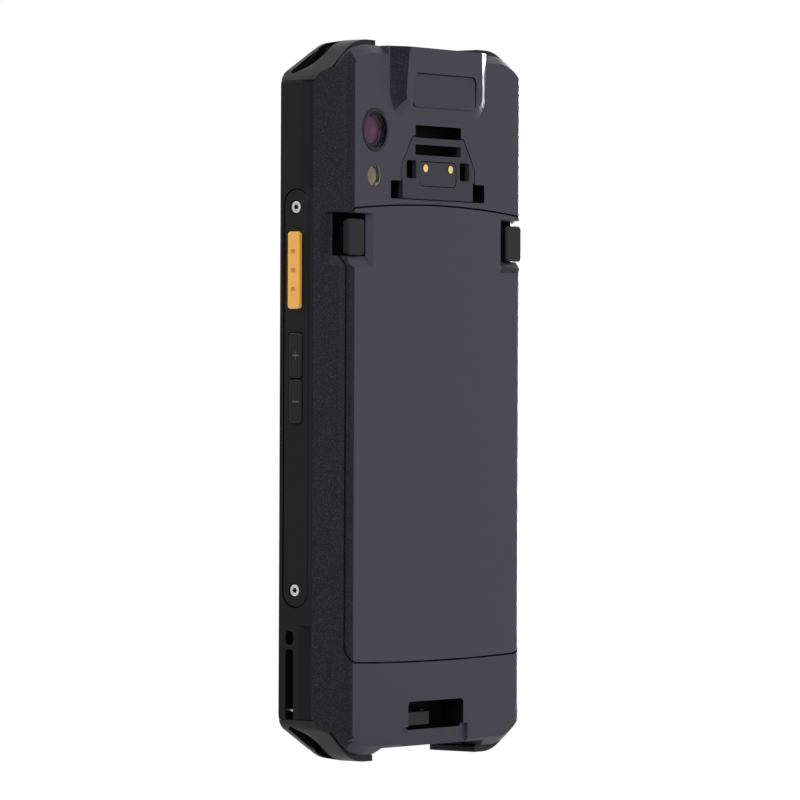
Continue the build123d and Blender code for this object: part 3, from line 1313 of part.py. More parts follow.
save(key_flex(-1), "key_flex_left")
save(key_flex(1), "key_flex_right")

dome_spots = [
    (-1, (scan_key_low + scan_key_high) / 2),
    (-1, (volume_up_low + volume_up_high) / 2),
    (-1, (volume_down_low + volume_down_high) / 2),
    (1, (scan_key_low + scan_key_high) / 2),
    (1, (power_key_low + power_key_high) / 2),
]
with BuildPart() as key_domes:
    for side, z in dome_spots:
        side_disc(side, dome_depth, z, dome_radius, flex_out, flex_out + 0.3)
        side_disc(side, dome_depth, z, 0.7, flex_out + 0.2, flex_out + dome_height)
save(key_domes.part, "key_domes")

with BuildPart() as bezel_screws:
    for side in (-1, 1):
        for z in (bezel_screw_low, bezel_screw_high):
            side_disc(side, bezel_screw_depth, z, bezel_screw_radius, half_width - 1.2, half_width - 0.4)
            side_disc(side, bezel_screw_depth, z, screw_radius, cavity_half - 0.3, half_width - 1)
            with BuildSketch(side_plane(side, half_width - 0.9)):
                with Locations((side * (back_y + bezel_screw_depth), z)):
                    lobed_recess(0.5)
            extrude(amount=1, mode=Mode.SUBTRACT)
save(bezel_screws.part, "bezel_screws")

with BuildPart() as housing_screws:
    for side in (-1, 1):
        for z in (screw_low_z, screw_high_z):
            disc(side * screw_x, z, screw_head_radius, ledge_depth + 0.1,
                 ledge_depth + 0.1 + screw_head_height)
            disc(side * screw_x, z, screw_radius, ledge_depth + screw_head_height, chassis_depth - 0.3)
            with BuildSketch(back_plane(ledge_depth + 0.5)):
                with Locations((side * screw_x, z)):
                    lobed_recess(0.45)
            extrude(amount=1, mode=Mode.SUBTRACT)
save(housing_screws.part, "housing_screws")
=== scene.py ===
"""Looks of a rugged handheld data terminal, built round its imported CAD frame.

Each sub-assembly is a class that dresses its CAD nodes or builds finer pieces over them. Lengths are in
millimetres in the classes and turn to metres where a mesh is made.
"""

from __future__ import annotations

import json
import logging
import math
from collections.abc import Callable
from dataclasses import dataclass, field
from enum import Enum

import bmesh
import bpy
from mathutils import Matrix, Vector

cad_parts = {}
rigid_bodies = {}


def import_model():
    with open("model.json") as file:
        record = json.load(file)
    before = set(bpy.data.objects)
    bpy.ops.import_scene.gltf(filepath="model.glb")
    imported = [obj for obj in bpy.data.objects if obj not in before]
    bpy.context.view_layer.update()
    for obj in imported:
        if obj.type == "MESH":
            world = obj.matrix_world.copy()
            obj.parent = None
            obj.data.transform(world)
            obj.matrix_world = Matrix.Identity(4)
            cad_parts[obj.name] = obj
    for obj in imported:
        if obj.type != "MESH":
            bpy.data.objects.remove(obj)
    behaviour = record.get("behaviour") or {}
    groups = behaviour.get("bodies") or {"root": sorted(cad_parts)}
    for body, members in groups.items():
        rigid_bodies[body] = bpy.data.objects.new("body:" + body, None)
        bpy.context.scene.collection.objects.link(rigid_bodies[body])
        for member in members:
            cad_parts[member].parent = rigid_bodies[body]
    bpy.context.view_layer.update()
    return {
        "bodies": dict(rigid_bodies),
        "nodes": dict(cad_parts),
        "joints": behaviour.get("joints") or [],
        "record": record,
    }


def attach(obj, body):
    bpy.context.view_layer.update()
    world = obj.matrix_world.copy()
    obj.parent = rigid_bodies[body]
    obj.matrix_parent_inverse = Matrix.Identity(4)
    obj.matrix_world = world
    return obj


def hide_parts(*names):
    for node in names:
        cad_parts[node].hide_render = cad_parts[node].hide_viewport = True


LOG = logging.getLogger("terminal")
MM = 0.001

# Depths are counted from the flat back plane towards the display, as in the part's source.
BACK_Y = -7.1
HALF_WIDTH = 38.5

# Soft patches that vary a finish's colour and roughness: their size, and the noise between which the
# roughness runs from its lowest to its highest.
PATCH_MM = 12.0
PATCH_SPAN = (0.3, 0.7)
# Painted glints: pale specks in a grainy finish's colour that stand in for the light its grain catches:
# their spacing, the radii between which they fade, their colour.
GLINT_SPECK_MM = 0.26
GLINT_SPECK_FADE = (0.12, 0.34)
GLINT_SPECK_COLOUR = "9a98a4"
COAT_ROUGHNESS = 0.08
# Brushed grain is this many times as long as it is wide.
BRUSH_STRETCH = 12.0

# Points closer than this are one point, and faces flatter to each other than this are one face.
MERGE_MM = 0.002
FLAT_DEGREES = 0.6
SHARP_DEGREES = 32.0
BEVEL_FROM_DEGREES = 35.0
ROUND_FROM_DEGREES = 14.0
LATHE_STEPS = 64

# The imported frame, which main() fills: its bodies, nodes, joints and record.
FRAME: dict = {}


class Body(Enum):
    """The rigid bodies that a piece can ride on."""

    DEVICE = "device"
    BATTERY = "battery"
    LEFT_LATCH = "left_latch"
    RIGHT_LATCH = "right_latch"
    LEFT_SCAN_KEY = "left_scan_key"
    RIGHT_SCAN_KEY = "right_scan_key"
    LOUDER_KEY = "louder_key"
    QUIETER_KEY = "quieter_key"
    ON_OFF_KEY = "on_off_key"


class Grain(Enum):
    """How a surface is broken up at the scale that the eye sees."""

    NONE = "none"
    SPARK = "spark eroded"
    BRUSHED = "brushed"


# ---- colours and node helpers --------------------------------------------------------------------


def linear(hex_colour: str) -> tuple[float, float, float, float]:
    """Turns an sRGB hex colour to linear light.

    Args:
        hex_colour: six hex digits, such as "46444e".

    Returns:
        Red, green, blue and a full alpha, as Blender's sockets take them.
    """
    values = [int(hex_colour[i : i + 2], 16) / 255 for i in (0, 2, 4)]
    red, green, blue = (v / 12.92 if v <= 0.04045 else ((v + 0.055) / 1.055) ** 2.4 for v in values)
    return red, green, blue, 1.0


def add_node(
    tree: bpy.types.NodeTree,
    kind: str,
    settings: dict[str, object] | None = None,
    inputs: dict[str | int, object] | None = None,
) -> bpy.types.Node:
    """Adds one node to a tree.

    Args:
        tree: the tree that gets it.
        kind: the node's type name.
        settings: attributes of the node, by name.
        inputs: by socket name or index, a value or an output socket to link from.

    Returns:
        The new node.
    """
    node = tree.nodes.new(kind)
    for name, value in (settings or {}).items():
        setattr(node, name, value)
    for key, value in (inputs or {}).items():
        if isinstance(value, bpy.types.NodeSocket):
            tree.links.new(value, node.inputs[key])
        else:
            node.inputs[key].default_value = value
    return node


# ---- finishes ------------------------------------------------------------------------------------


@dataclass(frozen=True)
class Finish:
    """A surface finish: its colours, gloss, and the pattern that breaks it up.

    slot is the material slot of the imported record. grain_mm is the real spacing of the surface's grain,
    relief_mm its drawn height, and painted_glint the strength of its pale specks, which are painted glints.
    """

    name: str
    slot: str
    colour: str
    shade: str
    roughness: float = 0.5
    roughness_spread: float = 0.06
    metallic: float = 0.0
    ior: float = 1.5
    gloss: float = 0.5
    grain: Grain = Grain.NONE
    grain_mm: float = 0.5
    relief_mm: float = 0.01
    painted_glint: float = 0.0
    coat: float = 0.0
    transmission: float = 0.0

    def material(self) -> bpy.types.Material:
        """Builds the material once, and gives the same one after that.

        Returns:
            The material.
        """
        made = bpy.data.materials.get(self.name)
        if made:
            return made
        made = bpy.data.materials.new(self.name)
        made.use_nodes = True
        tree = made.node_tree
        tree.nodes.clear()
        place = add_node(tree, "ShaderNodeTexCoord").outputs["Object"]
        shader = add_node(tree, "ShaderNodeBsdfPrincipled")
        out = add_node(tree, "ShaderNodeOutputMaterial")
        tree.links.new(shader.outputs[0], out.inputs[0])
        self._set_constants(shader)
        cloud = add_node(
            tree,
            "ShaderNodeTexNoise",
            inputs={"Vector": place, "Scale": 1 / (PATCH_MM * MM), "Detail": 4.0, "Roughness": 0.55},
        ).outputs["Fac"]
        tree.links.new(self._colour(tree, cloud, place), shader.inputs["Base Color"])
        roughness = add_node(
            tree,
            "ShaderNodeMapRange",
            inputs={
                "Value": cloud,
                "From Min": PATCH_SPAN[0],
                "From Max": PATCH_SPAN[1],
                "To Min": max(self.roughness - self.roughness_spread, 0.02),
                "To Max": min(self.roughness + self.roughness_spread, 1.0),
            },
        )
        tree.links.new(roughness.outputs[0], shader.inputs["Roughness"])
        height = self._relief(tree, place)
        if height:
            bump = add_node(
                tree,
                "ShaderNodeBump",
                inputs={"Height": height, "Strength": 1.0, "Distance": self.relief_mm * MM},
            )
            tree.links.new(bump.outputs[0], shader.inputs["Normal"])
        return made

    def _set_constants(self, shader: bpy.types.Node) -> None:
        """Sets what is the same all over the surface on the shader's own sockets.

        Args:
            shader: the material's shader.
        """
        shader.inputs["Metallic"].default_value = self.metallic
        shader.inputs["IOR"].default_value = self.ior
        shader.inputs["Specular IOR Level"].default_value = self.gloss
        shader.inputs["Coat Weight"].default_value = self.coat
        shader.inputs["Coat Roughness"].default_value = COAT_ROUGHNESS
        shader.inputs["Transmission Weight"].default_value = self.transmission

    def _colour(
        self, tree: bpy.types.NodeTree, cloud: bpy.types.NodeSocket, place: bpy.types.NodeSocket
    ) -> bpy.types.NodeSocket:
        """Mixes the two colours in soft patches, with pale specks painted in as glints where the finish has
        them.

        Args:
            tree: the material's tree.
            cloud: the soft noise that patches follow.
            place: the coordinates.

        Returns:
            The colour's socket.
        """
        mixed = add_node(
            tree,
            "ShaderNodeMix",
            {"data_type": "RGBA"},
            {0: cloud, 6: linear(self.shade), 7: linear(self.colour)},
        ).outputs[2]
        if not self.painted_glint:
            return mixed
        # Painted glints: pale specks mixed into the colour, strongest at each speck's middle.
        specks = add_node(
            tree,
            "ShaderNodeTexVoronoi",
            {"feature": "F1"},
            {"Vector": place, "Scale": 1 / (GLINT_SPECK_MM * MM), "Randomness": 1.0},
        )
        lit = add_node(
            tree,
            "ShaderNodeMapRange",
            inputs={
                "Value": specks.outputs["Distance"],
                "From Min": GLINT_SPECK_FADE[0],
                "From Max": GLINT_SPECK_FADE[1],
                "To Min": self.painted_glint,
                "To Max": 0.0,
            },
        ).outputs[0]
        return add_node(
            tree,
            "ShaderNodeMix",
            {"data_type": "RGBA"},
            {0: lit, 6: mixed, 7: linear(GLINT_SPECK_COLOUR)},
        ).outputs[2]

    def _relief(
        self, tree: bpy.types.NodeTree, place: bpy.types.NodeSocket
    ) -> bpy.types.NodeSocket | None:
        """The height that the bump follows.

        Args:
            tree: the material's tree.
            place: the coordinates.

        Returns:
            The height's socket, or None for a smooth surface.
        """
        if self.grain is Grain.NONE:
            return None
        if self.grain is Grain.BRUSHED:
            stretch = add_node(
                tree,
                "ShaderNodeMapping",
                inputs={"Vector": place, "Scale": (1.0, BRUSH_STRETCH, BRUSH_STRETCH)},
            ).outputs[0]
            scale = 1 / (self.grain_mm * MM * BRUSH_STRETCH)
            return add_node(
                tree, "ShaderNodeTexNoise", inputs={"Vector": stretch, "Scale": scale, "Detail": 2.0}
            ).outputs["Fac"]
        return add_node(
            tree,
            "ShaderNodeTexNoise",
            inputs={"Vector": place, "Scale": 1 / (self.grain_mm * MM), "Detail": 3.0, "Roughness": 0.6},
        ).outputs["Fac"]


class Finishes:
    """Every finish of the terminal, named for what the real piece is made of."""

    # Spark-eroded polycarbonate blend: a dull violet-grey skin with a soft broad sheen.
    HOUSING = Finish(
        "polycarbonate_blend_spark_eroded", "housing_plastic", "3c3a45", "35333d", 0.5, 0.05, gloss=0.22,
        grain=Grain.SPARK, grain_mm=0.35, relief_mm=0.004,
    )
    # The same blend on the pack's cover, moulded finer, so it looks a little smoother.
    COVER = Finish(
        "polycarbonate_blend_fine_moulded", "housing_plastic", "3c3a45", "36343f", 0.46, 0.04, gloss=0.22,
        grain=Grain.SPARK, grain_mm=0.25, relief_mm=0.002,
    )
    # The same blend with a coarse moulded texture, drawn darker, with pale specks painted in as glints, on
    # grip strips and hump slopes.
    STRIP = Finish(
        "polycarbonate_blend_coarse_grip", "housing_plastic", "1a191f", "131217", 0.34, 0.06, gloss=0.12,
        grain=Grain.SPARK, grain_mm=0.28, relief_mm=0.06, painted_glint=0.16,
    )
    INLAY = Finish(
        "polycarbonate_satin_inlay", "inlay_plastic", "34323c", "2f2d37", 0.42, 0.04, gloss=0.22,
        grain=Grain.SPARK, grain_mm=0.25, relief_mm=0.002,
    )
    PLATE = Finish(
        "polyamide_plate_satin", "dark_plastic", "2f2d36", "292730", 0.42, 0.04, gloss=0.22,
        grain=Grain.SPARK, grain_mm=0.25, relief_mm=0.002,
    )
    # Near-black glass-filled nylon, satin from its fine moulded skin.
    FRAME = Finish(
        "glass_filled_nylon_satin", "frame_plastic", "0e0e11", "0a0a0c", 0.42, 0.06, gloss=0.14,
        grain=Grain.SPARK, grain_mm=0.3, relief_mm=0.004,
    )
    # Thermoplastic elastomer, a shade softer in its sheen than the frame.
    BUMPER = Finish(
        "thermoplastic_elastomer_matt", "bumper_rubber", "141418", "0f0f12", 0.45, 0.06, gloss=0.2,
        grain=Grain.SPARK, grain_mm=0.3, relief_mm=0.004,
    )
    DARK = Finish(
        "acetal_black_matt", "dark_plastic", "121216", "0d0d10", 0.4, 0.05, gloss=0.2,
        grain=Grain.SPARK, grain_mm=0.3, relief_mm=0.003,
    )
    KEY = Finish(
        "silicone_key_black_satin", "frame_plastic", "121215", "0e0e10", 0.4, 0.04, gloss=0.18,
        grain=Grain.SPARK, grain_mm=0.25, relief_mm=0.002,
    )
    # Moulded key plastic in a warm amber.
    AMBER = Finish(
        "acrylonitrile_key_amber", "yellow_plastic", "e0a748", "dba040", 0.42, 0.04,
        grain=Grain.SPARK, grain_mm=0.3, relief_mm=0.003,
    )
    STEEL = Finish(
        "stainless_steel_turned", "steel", "c8c8ca", "b4b4b8", 0.28, 0.06, metallic=1.0,
        grain=Grain.BRUSHED, grain_mm=0.2, relief_mm=0.002,
    )
    TIN = Finish(
        "tin_plated_steel_pressed", "tin_plate", "b9bab8", "a9aaa8", 0.35, 0.08, metallic=1.0,
        grain=Grain.SPARK, grain_mm=1.2, relief_mm=0.004,
    )
    GOLD = Finish(
        "gold_plated_brass_contact", "gold", "f2d98c", "e6c873", 0.26, 0.05, metallic=1.0,
        grain=Grain.SPARK, grain_mm=0.3, relief_mm=0.001,
    )
    MAGNESIUM = Finish(
        "magnesium_die_cast", "magnesium", "a3a4a6", "8f9093", 0.5, 0.08, metallic=1.0,
        grain=Grain.SPARK, grain_mm=0.6, relief_mm=0.008,
    )
    RING = Finish(
        "aluminium_anodised_dark", "camera_metal", "201e25", "19181d", 0.35, 0.05, metallic=0.5, gloss=0.3,
        grain=Grain.SPARK, grain_mm=0.2, relief_mm=0.001,
    )
    LENS_BARREL = Finish("lens_barrel_black", "dark_plastic", "0d0c10", "08080a", 0.3, 0.05)
    # Cover window, tinted by its anti-reflection coat. Its index is far below sapphire's, so that the
    # bright surroundings don't hide the lens.
    WINDOW = Finish(
        "sapphire_window_coated", "camera_glass", "d9c9dd", "d2c0d8", 0.03, 0.01, ior=1.12, transmission=1.0,
    )
    # First lens element, in the violet of its coat.
    LENS = Finish("optical_glass_violet_coat", "camera_glass", "6d4c5a", "5f424e", 0.12, 0.02, gloss=0.5)
    # Inner element, drawn as a small dome on the first; its redder, paler colour is a painted reflection of
    # the deeper glass.
    LENS_CORE_REFLECTION = Finish("optical_glass_painted_inner_reflection", "camera_glass", "7d505d", "724753", 0.06, 0.02, gloss=0.7)
    # Painted shade: the housing's plastic drawn near black inside pockets and slots, where little light
    # reaches it.
    PAINTED_POCKET_SHADE = Finish(
        "polycarbonate_blend_painted_pocket_shade", "housing_plastic", "0b0a0d", "070709", 0.6, 0.05, gloss=0.05,
        grain=Grain.SPARK, grain_mm=0.35, relief_mm=0.004,
    )
    # Black oxide on the hidden screws, and painted shade in the sockets of the bright ones.
    OXIDE_AND_SOCKET_SHADE = Finish("steel_black_oxide_and_socket_shade", "steel", "18181a", "101012", 0.5, 0.06, metallic=0.6)
    # The scan key's pips, drawn a darker amber.
    AMBER_MARK = Finish("acrylonitrile_key_amber_mark", "yellow_plastic", "b47c26", "aa7422", 0.5, 0.04)
    MARK = Finish("pad_printed_pale_mark", "frame_plastic", "55555a", "4d4d52", 0.5, 0.04)
    COVER_GLASS = Finish(
        "aluminosilicate_glass_black_backed", "glass", "08080a", "060608", 0.06, 0.02, gloss=0.16, coat=0.04,
    )
    DISPLAY = Finish("display_cell_unlit", "display", "050507", "030304", 0.12, 0.02)
    GASKET = Finish("silicone_foam_black", "gasket", "111113", "0b0b0d", 0.8, 0.08)
    BOARD = Finish(
        "glass_epoxy_solder_mask_green", "board", "12402a", "0e3322", 0.35, 0.05,
        grain=Grain.SPARK, grain_mm=0.6, relief_mm=0.006,
    )
    POUCH = Finish(
        "aluminium_laminate_pouch", "cell_wrap", "9fa1a4", "8e9093", 0.38, 0.08, metallic=0.7,
        grain=Grain.SPARK, grain_mm=1.5, relief_mm=0.02,
    )
    FLEX = Finish("polyimide_flex_amber", "flex", "8f5a1c", "7b4b14", 0.35, 0.05)
    FLASH = Finish(
        "acrylic_clear_faceted", "flash_lens", "dcdad0", "d2cfc2", 0.03, 0.02, ior=1.3, transmission=1.0,
    )
    # White moulded cup that throws the flash's light outwards.
    REFLECTOR = Finish("polyphthalamide_white_reflector", "flash_lens", "d4d0b8", "b9b59e", 0.3, 0.05)
    PHOSPHOR = Finish("phosphor_yellow", "led", "e6c63c", "d8b62c", 0.4, 0.05)
    SCAN_GLASS = Finish(
        "acrylic_red_tinted", "scan_filter", "2c0508", "200306", 0.1, 0.02, gloss=0.2,
    )


# ---- mesh helpers --------------------------------------------------------------------------------


def link(mesh: bpy.types.Mesh, name: str, finish: Finish) -> bpy.types.Object:
    """Makes an object of a mesh at the world's origin, with one finish.

    Args:
        mesh: the mesh.
        name: the object's name.
        finish: its finish.

    Returns:
        The new object.
    """
    obj = bpy.data.objects.new(name, mesh)
    bpy.context.scene.collection.objects.link(obj)
    mesh.materials.clear()
    mesh.materials.append(finish.material())
    return obj


def smooth(mesh: bpy.types.Mesh) -> None:
    """Smooths a mesh except along its sharp edges."""
    mesh.shade_smooth()
    mesh.set_sharp_from_angle(angle=math.radians(SHARP_DEGREES))


def merged_copy(node: str) -> bpy.types.Mesh:
    """A copy of a CAD node's mesh with its triangles joined and flat areas made whole.

    Args:
        node: the CAD node's name.

    Returns:
        The new mesh.
    """
    mesh = FRAME["nodes"][node].data.copy()
    mesh.name = f"{node}_dressed"
    work = bmesh.new()
    work.from_mesh(mesh)
    bmesh.ops.remove_doubles(work, verts=work.verts, dist=MERGE_MM * MM)
    bmesh.ops.dissolve_limit(
        work,
        angle_limit=math.radians(FLAT_DEGREES),
        verts=work.verts,
        edges=work.edges,
        delimit={"NORMAL"},
    )
    work.to_mesh(mesh)
    work.free()
    smooth(mesh)
    return mesh


@dataclass(frozen=True)
class Facet:
    """A face as the marking tests see it: its middle as x, depth and z in mm, and its normal."""

    x: float
    depth: float
    z: float
    normal: Vector


def mark(obj: bpy.types.Object, finish: Finish, chosen: Callable[[Facet], bool]) -> None:
    """Gives the faces that a test picks their own finish.

    Args:
        obj: the piece.
        finish: the finish of the picked faces.
        chosen: takes a face, and says whether it is picked.
    """
    mesh = obj.data
    mesh.materials.append(finish.material())
    index = len(mesh.materials) - 1
    for face in mesh.polygons:
        x, y, z = face.center / MM
        if chosen(Facet(x, y - BACK_Y, z, face.normal)):
            face.material_index = index


def round_edges(obj: bpy.types.Object, chosen: Callable[[Vector], bool], radius_mm: float) -> None:
    """Rounds the soft edges that a test picks, which the edge bevel leaves alone.

    Args:
        obj: the piece.
        chosen: takes an edge's middle in mm, and says whether it is picked.
        radius_mm: how far the rounding reaches to both sides.
    """
    work = bmesh.new()
    work.from_mesh(obj.data)
    picked = []
    for edge in work.edges:
        if len(edge.link_faces) != 2 or edge.calc_face_angle(0.0) < math.radians(ROUND_FROM_DEGREES):
            continue
        if chosen((edge.verts[0].co + edge.verts[1].co) / 2 / MM):
            picked.append(edge)
    bmesh.ops.bevel(
        work, geom=picked, offset=radius_mm * MM, offset_type="OFFSET", segments=4, profile=0.5,
        affect="EDGES", clamp_overlap=True,
    )
    LOG.info("rounded %d edges of %s", len(picked), obj.name)
    work.to_mesh(obj.data)
    work.free()
    smooth(obj.data)


def within(value: float, low: float, high: float) -> bool:
    """Says whether a value lies between two others."""
    return low < value < high


@dataclass(frozen=True)
class Region:
    """A box in mm for picking faces and edges, the same on both sides of the body's middle.

    across, depth and height hold the lowest and highest distance from the middle, depth and z. A region
    that reaches over the middle begins just below 0.
    """

    across: tuple[float, float]
    depth: tuple[float, float]
    height: tuple[float, float]

    def holds(self, x: float, depth: float, z: float) -> bool:
        """Says whether a point lies inside."""
        return within(abs(x), *self.across) and within(depth, *self.depth) and within(z, *self.height)


def lathe(
    name: str, finish: Finish, centre: tuple[float, float], profile: list[tuple[float, float]]
) -> None:
    """Turns a profile about an axis that runs through the body's depth, as a piece of the device.

    Args:
        name: the piece's name.
        finish: its finish.
        centre: the axis, as x and z in mm.
        profile: points of radius and depth in mm; a loop makes a ring, and other ends are closed.
    """
    work = bmesh.new()
    rows = []
    loop = profile[0] == profile[-1]
    for radius, depth in profile[: -1 if loop else None]:
        ring = []
        for i in range(1 if radius == 0 else LATHE_STEPS):
            angle = 2 * math.pi * i / LATHE_STEPS
            x = centre[0] + radius * math.cos(angle)
            z = centre[1] + radius * math.sin(angle)
            ring.append(work.verts.new(Vector((x, BACK_Y + depth, z)) * MM))
        rows.append(ring)
    for first, second in zip(rows, [*rows[1:], rows[0]] if loop else rows[1:]):
        for i in range(LATHE_STEPS):
            near = [first[i % len(first)], first[(i + 1) % len(first)]]
            far = [second[(i + 1) % len(second)], second[i % len(second)]]
            corners = list(dict.fromkeys([*near, *far]))
            if len(corners) > 2:
                work.faces.new(corners)
    for ring in (rows[0], rows[-1]):
        if len(ring) > 1 and not loop:
            work.faces.new(ring)
    bmesh.ops.recalc_face_normals(work, faces=work.faces)
    mesh = bpy.data.meshes.new(name)
    work.to_mesh(mesh)
    work.free()
    smooth(mesh)
    obj = link(mesh, name, finish)
    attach(obj, Body.DEVICE.value)
    LOG.info("turned %s with %s", name, finish.name)


def dress(node: str, finish: Finish) -> None:
    """Gives a CAD node its finish, with no change to its shape.

    Args:
        node: the CAD node's name.
        finish: its finish.
    """
    materials = FRAME["nodes"][node].data.materials
    materials.clear()
    materials.append(finish.material())
    LOG.info("dressed %s with %s", node, finish.name)


def refine(node: str, finish: Finish, body: Body, bevel_mm: float = 0.0) -> bpy.types.Object:
    """Stands a smooth copy in for a CAD node.

    Args:
        node: the CAD node's name.
        finish: the copy's finish.
        body: the body it rides on.
        bevel_mm: the rounding of its edges, or 0 for none.

    Returns:
        The new piece.
    """
    obj = link(merged_copy(node), f"{node}_fine", finish)
    if bevel_mm:
        bevel = obj.modifiers.new("edge rounding", "BEVEL")
        bevel.width = bevel_mm * MM
        bevel.segments = 2
        bevel.limit_method = "ANGLE"
        bevel.angle_limit = math.radians(BEVEL_FROM_DEGREES)
        bevel.use_clamp_overlap = True
    even = obj.modifiers.new("even normals", "WEIGHTED_NORMAL")
    even.keep_sharp = True
    even.weight = 100
    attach(obj, body.value)
    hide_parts(node)
    LOG.info("refined %s with %s", node, finish.name)
    return obj


# ---- sub-assemblies ------------------------------------------------------------------------------


@dataclass
class BackCase:
    """The back housing with its hump, and the pack's shell, whose side strips carry a coarse grip texture.

    A face counts as slanted when the x part of its normal passes a lean.
    """

    edge_mm: float = 0.2
    inlay_edge_mm: float = 0.12
    hump_rounding_mm: float = 1.3
    strip_from_mm: float = 31.5
    strip_depth_mm: float = 7.05
    flat_depth_mm: float = 0.2
    strip_lean: float = 0.12
    slope_lean: float = 0.3
    hump_slopes: Region = Region((8.0, 19.0), (-3.0, -0.15), (147.0, 166.0))
    hump_face: Region = Region((-0.1, 16.0), (-3.0, -1.2), (148.0, 164.4))
    inlay: Region = Region((-0.1, 12.6), (-3.0, -1.0), (150.5, 159.0))
    # Where shade is painted in: the accessory seat's slots, the strap notch and the latches' wells.
    pockets: tuple[Region, ...] = (
        Region((-0.1, 18.6), (0.45, 3.9), (129.2, 147.2)),
        Region((-0.1, 10.9), (1.0, 6.3), (6.6, 13.4)),
        Region((26.0, 35.2), (1.7, 17.0), (115.8, 125.9)),
    )

    def build(self) -> None:
        """Dresses housing and shell, with the grip texture on the slanted strips."""
        for node, finish, body in (
            ("back_housing", Finishes.HOUSING, Body.DEVICE),
            ("battery_shell", Finishes.COVER, Body.BATTERY),
        ):
            obj = refine(node, finish, body, self.edge_mm)
            if body is Body.DEVICE:
                round_edges(obj, self._on_hump, self.hump_rounding_mm)
            mark(obj, Finishes.STRIP, self._on_strip)
            # Painted shade: faces inside the pockets get a near-black finish.
            mark(obj, Finishes.PAINTED_POCKET_SHADE, self._in_pocket)
        refine("hump_inlay", Finishes.INLAY, Body.DEVICE, self.inlay_edge_mm)

    def _on_strip(self, face: Facet) -> bool:
        """Says whether a face lies on a slanted side strip, or on one of the hump's side slopes.

        Args:
            face: the face.

        Returns:
            Whether it carries the grip texture.
        """
        lean = abs(face.normal.x)
        slope = self.hump_slopes.holds(face.x, face.depth, face.z) and lean > self.slope_lean
        outside = abs(face.x) > self.strip_from_mm and face.depth < self.strip_depth_mm
        return slope or (outside and (lean > self.strip_lean or face.depth > self.flat_depth_mm))

    def _in_pocket(self, face: Facet) -> bool:
        """Says whether a face lies inside one of the pockets, where shade is painted."""
        return any(pocket.holds(face.x, face.depth, face.z) for pocket in self.pockets)

    def _on_hump(self, middle: Vector) -> bool:
        """Says whether an edge is one of the hump's soft ones, but not the inlay's."""
        place = middle.x, middle.y - BACK_Y, middle.z
        return self.hump_face.holds(*place) and not self.inlay.holds(*place)


@dataclass
class Frame:
    """The front frame, the corner bumpers and the side bezels with their screws."""

    edge_mm: float = 0.2
    bumper_edge_mm: float = 0.25
    screw_edge_mm: float = 0.06
    screw_heights_mm: tuple[float, float] = (39.5, 127.1)
    screw_depth_mm: float = 12.25
    socket_radius_mm: float = 0.85
    socket_x_mm: tuple[float, float] = (HALF_WIDTH - 1.15, HALF_WIDTH - 0.45)

    def build(self) -> None:
        """Dresses every piece of the frame."""
        refine("front_frame", Finishes.FRAME, Body.DEVICE, self.edge_mm)
        refine("corner_bumpers", Finishes.BUMPER, Body.DEVICE, self.bumper_edge_mm)
        refine("side_bezel_left", Finishes.FRAME, Body.DEVICE)
        refine("side_bezel_right", Finishes.FRAME, Body.DEVICE)
        screws = refine("bezel_screws", Finishes.STEEL, Body.DEVICE, self.screw_edge_mm)
        # Painted shade: the sockets of the screw heads are drawn near black.
        mark(screws, Finishes.OXIDE_AND_SOCKET_SHADE, self._in_socket)
        refine("strap_pins", Finishes.STEEL, Body.DEVICE)

    def _in_socket(self, face: Facet) -> bool:
        """Says whether a face lies in a screw head's socket, below its outer face.

        Args:
            face: the face.

        Returns:
            Whether it lies in a socket.
        """
        middle = min(self.screw_heights_mm, key=lambda height: abs(height - face.z))
        radius = math.hypot(face.depth - self.screw_depth_mm, face.z - middle)
        return radius < self.socket_radius_mm and within(abs(face.x), *self.socket_x_mm)


@dataclass
class Keys:
    """The scan keys, the volume keys and the power key, each on its own body."""

    pip_x_mm: float = HALF_WIDTH + 1.0
    sign_x_mm: tuple[float, float] = (-HALF_WIDTH - 0.15, -HALF_WIDTH - 0.05)
    outward: float = 0.9

    def build(self) -> None:
        """Dresses the keys."""
        for node, body in (("scan_key_left", Body.LEFT_SCAN_KEY), ("scan_key_right", Body.RIGHT_SCAN_KEY)):
            obj = refine(node, Finishes.AMBER, body)
            mark(obj, Finishes.AMBER_MARK, self._on_pip)
        for node, body in (("volume_up_key", Body.LOUDER_KEY), ("volume_down_key", Body.QUIETER_KEY)):
            obj = refine(node, Finishes.KEY, body)
            mark(obj, Finishes.MARK, self._in_sign)
        refine("power_key", Finishes.KEY, Body.ON_OFF_KEY)

    def _on_pip(self, face: Facet) -> bool:
        """Says whether a face belongs to one of the scan key's pips."""
        return abs(face.x) > self.pip_x_mm

    def _in_sign(self, face: Facet) -> bool:
        """Says whether a face is the floor of a volume key's sign."""
        return within(face.x, *self.sign_x_mm) and face.normal.x < -self.outward


@dataclass
class Pack:
    """The battery pack behind its shell: tray, cell, board, terminals and latches."""

    tray_edge_mm: float = 0.15

    def build(self) -> None:
        """Dresses the pack's pieces."""
        refine("battery_tray", Finishes.DARK, Body.BATTERY, self.tray_edge_mm)
        refine("battery_cell", Finishes.POUCH, Body.BATTERY)
        dress("battery_board", Finishes.BOARD)
        dress("battery_terminals", Finishes.GOLD)
        dress("battery_seal", Finishes.GASKET)
        refine("latch_springs", Finishes.STEEL, Body.BATTERY)
        refine("latch_left", Finishes.DARK, Body.LEFT_LATCH)
        refine("latch_right", Finishes.DARK, Body.RIGHT_LATCH)


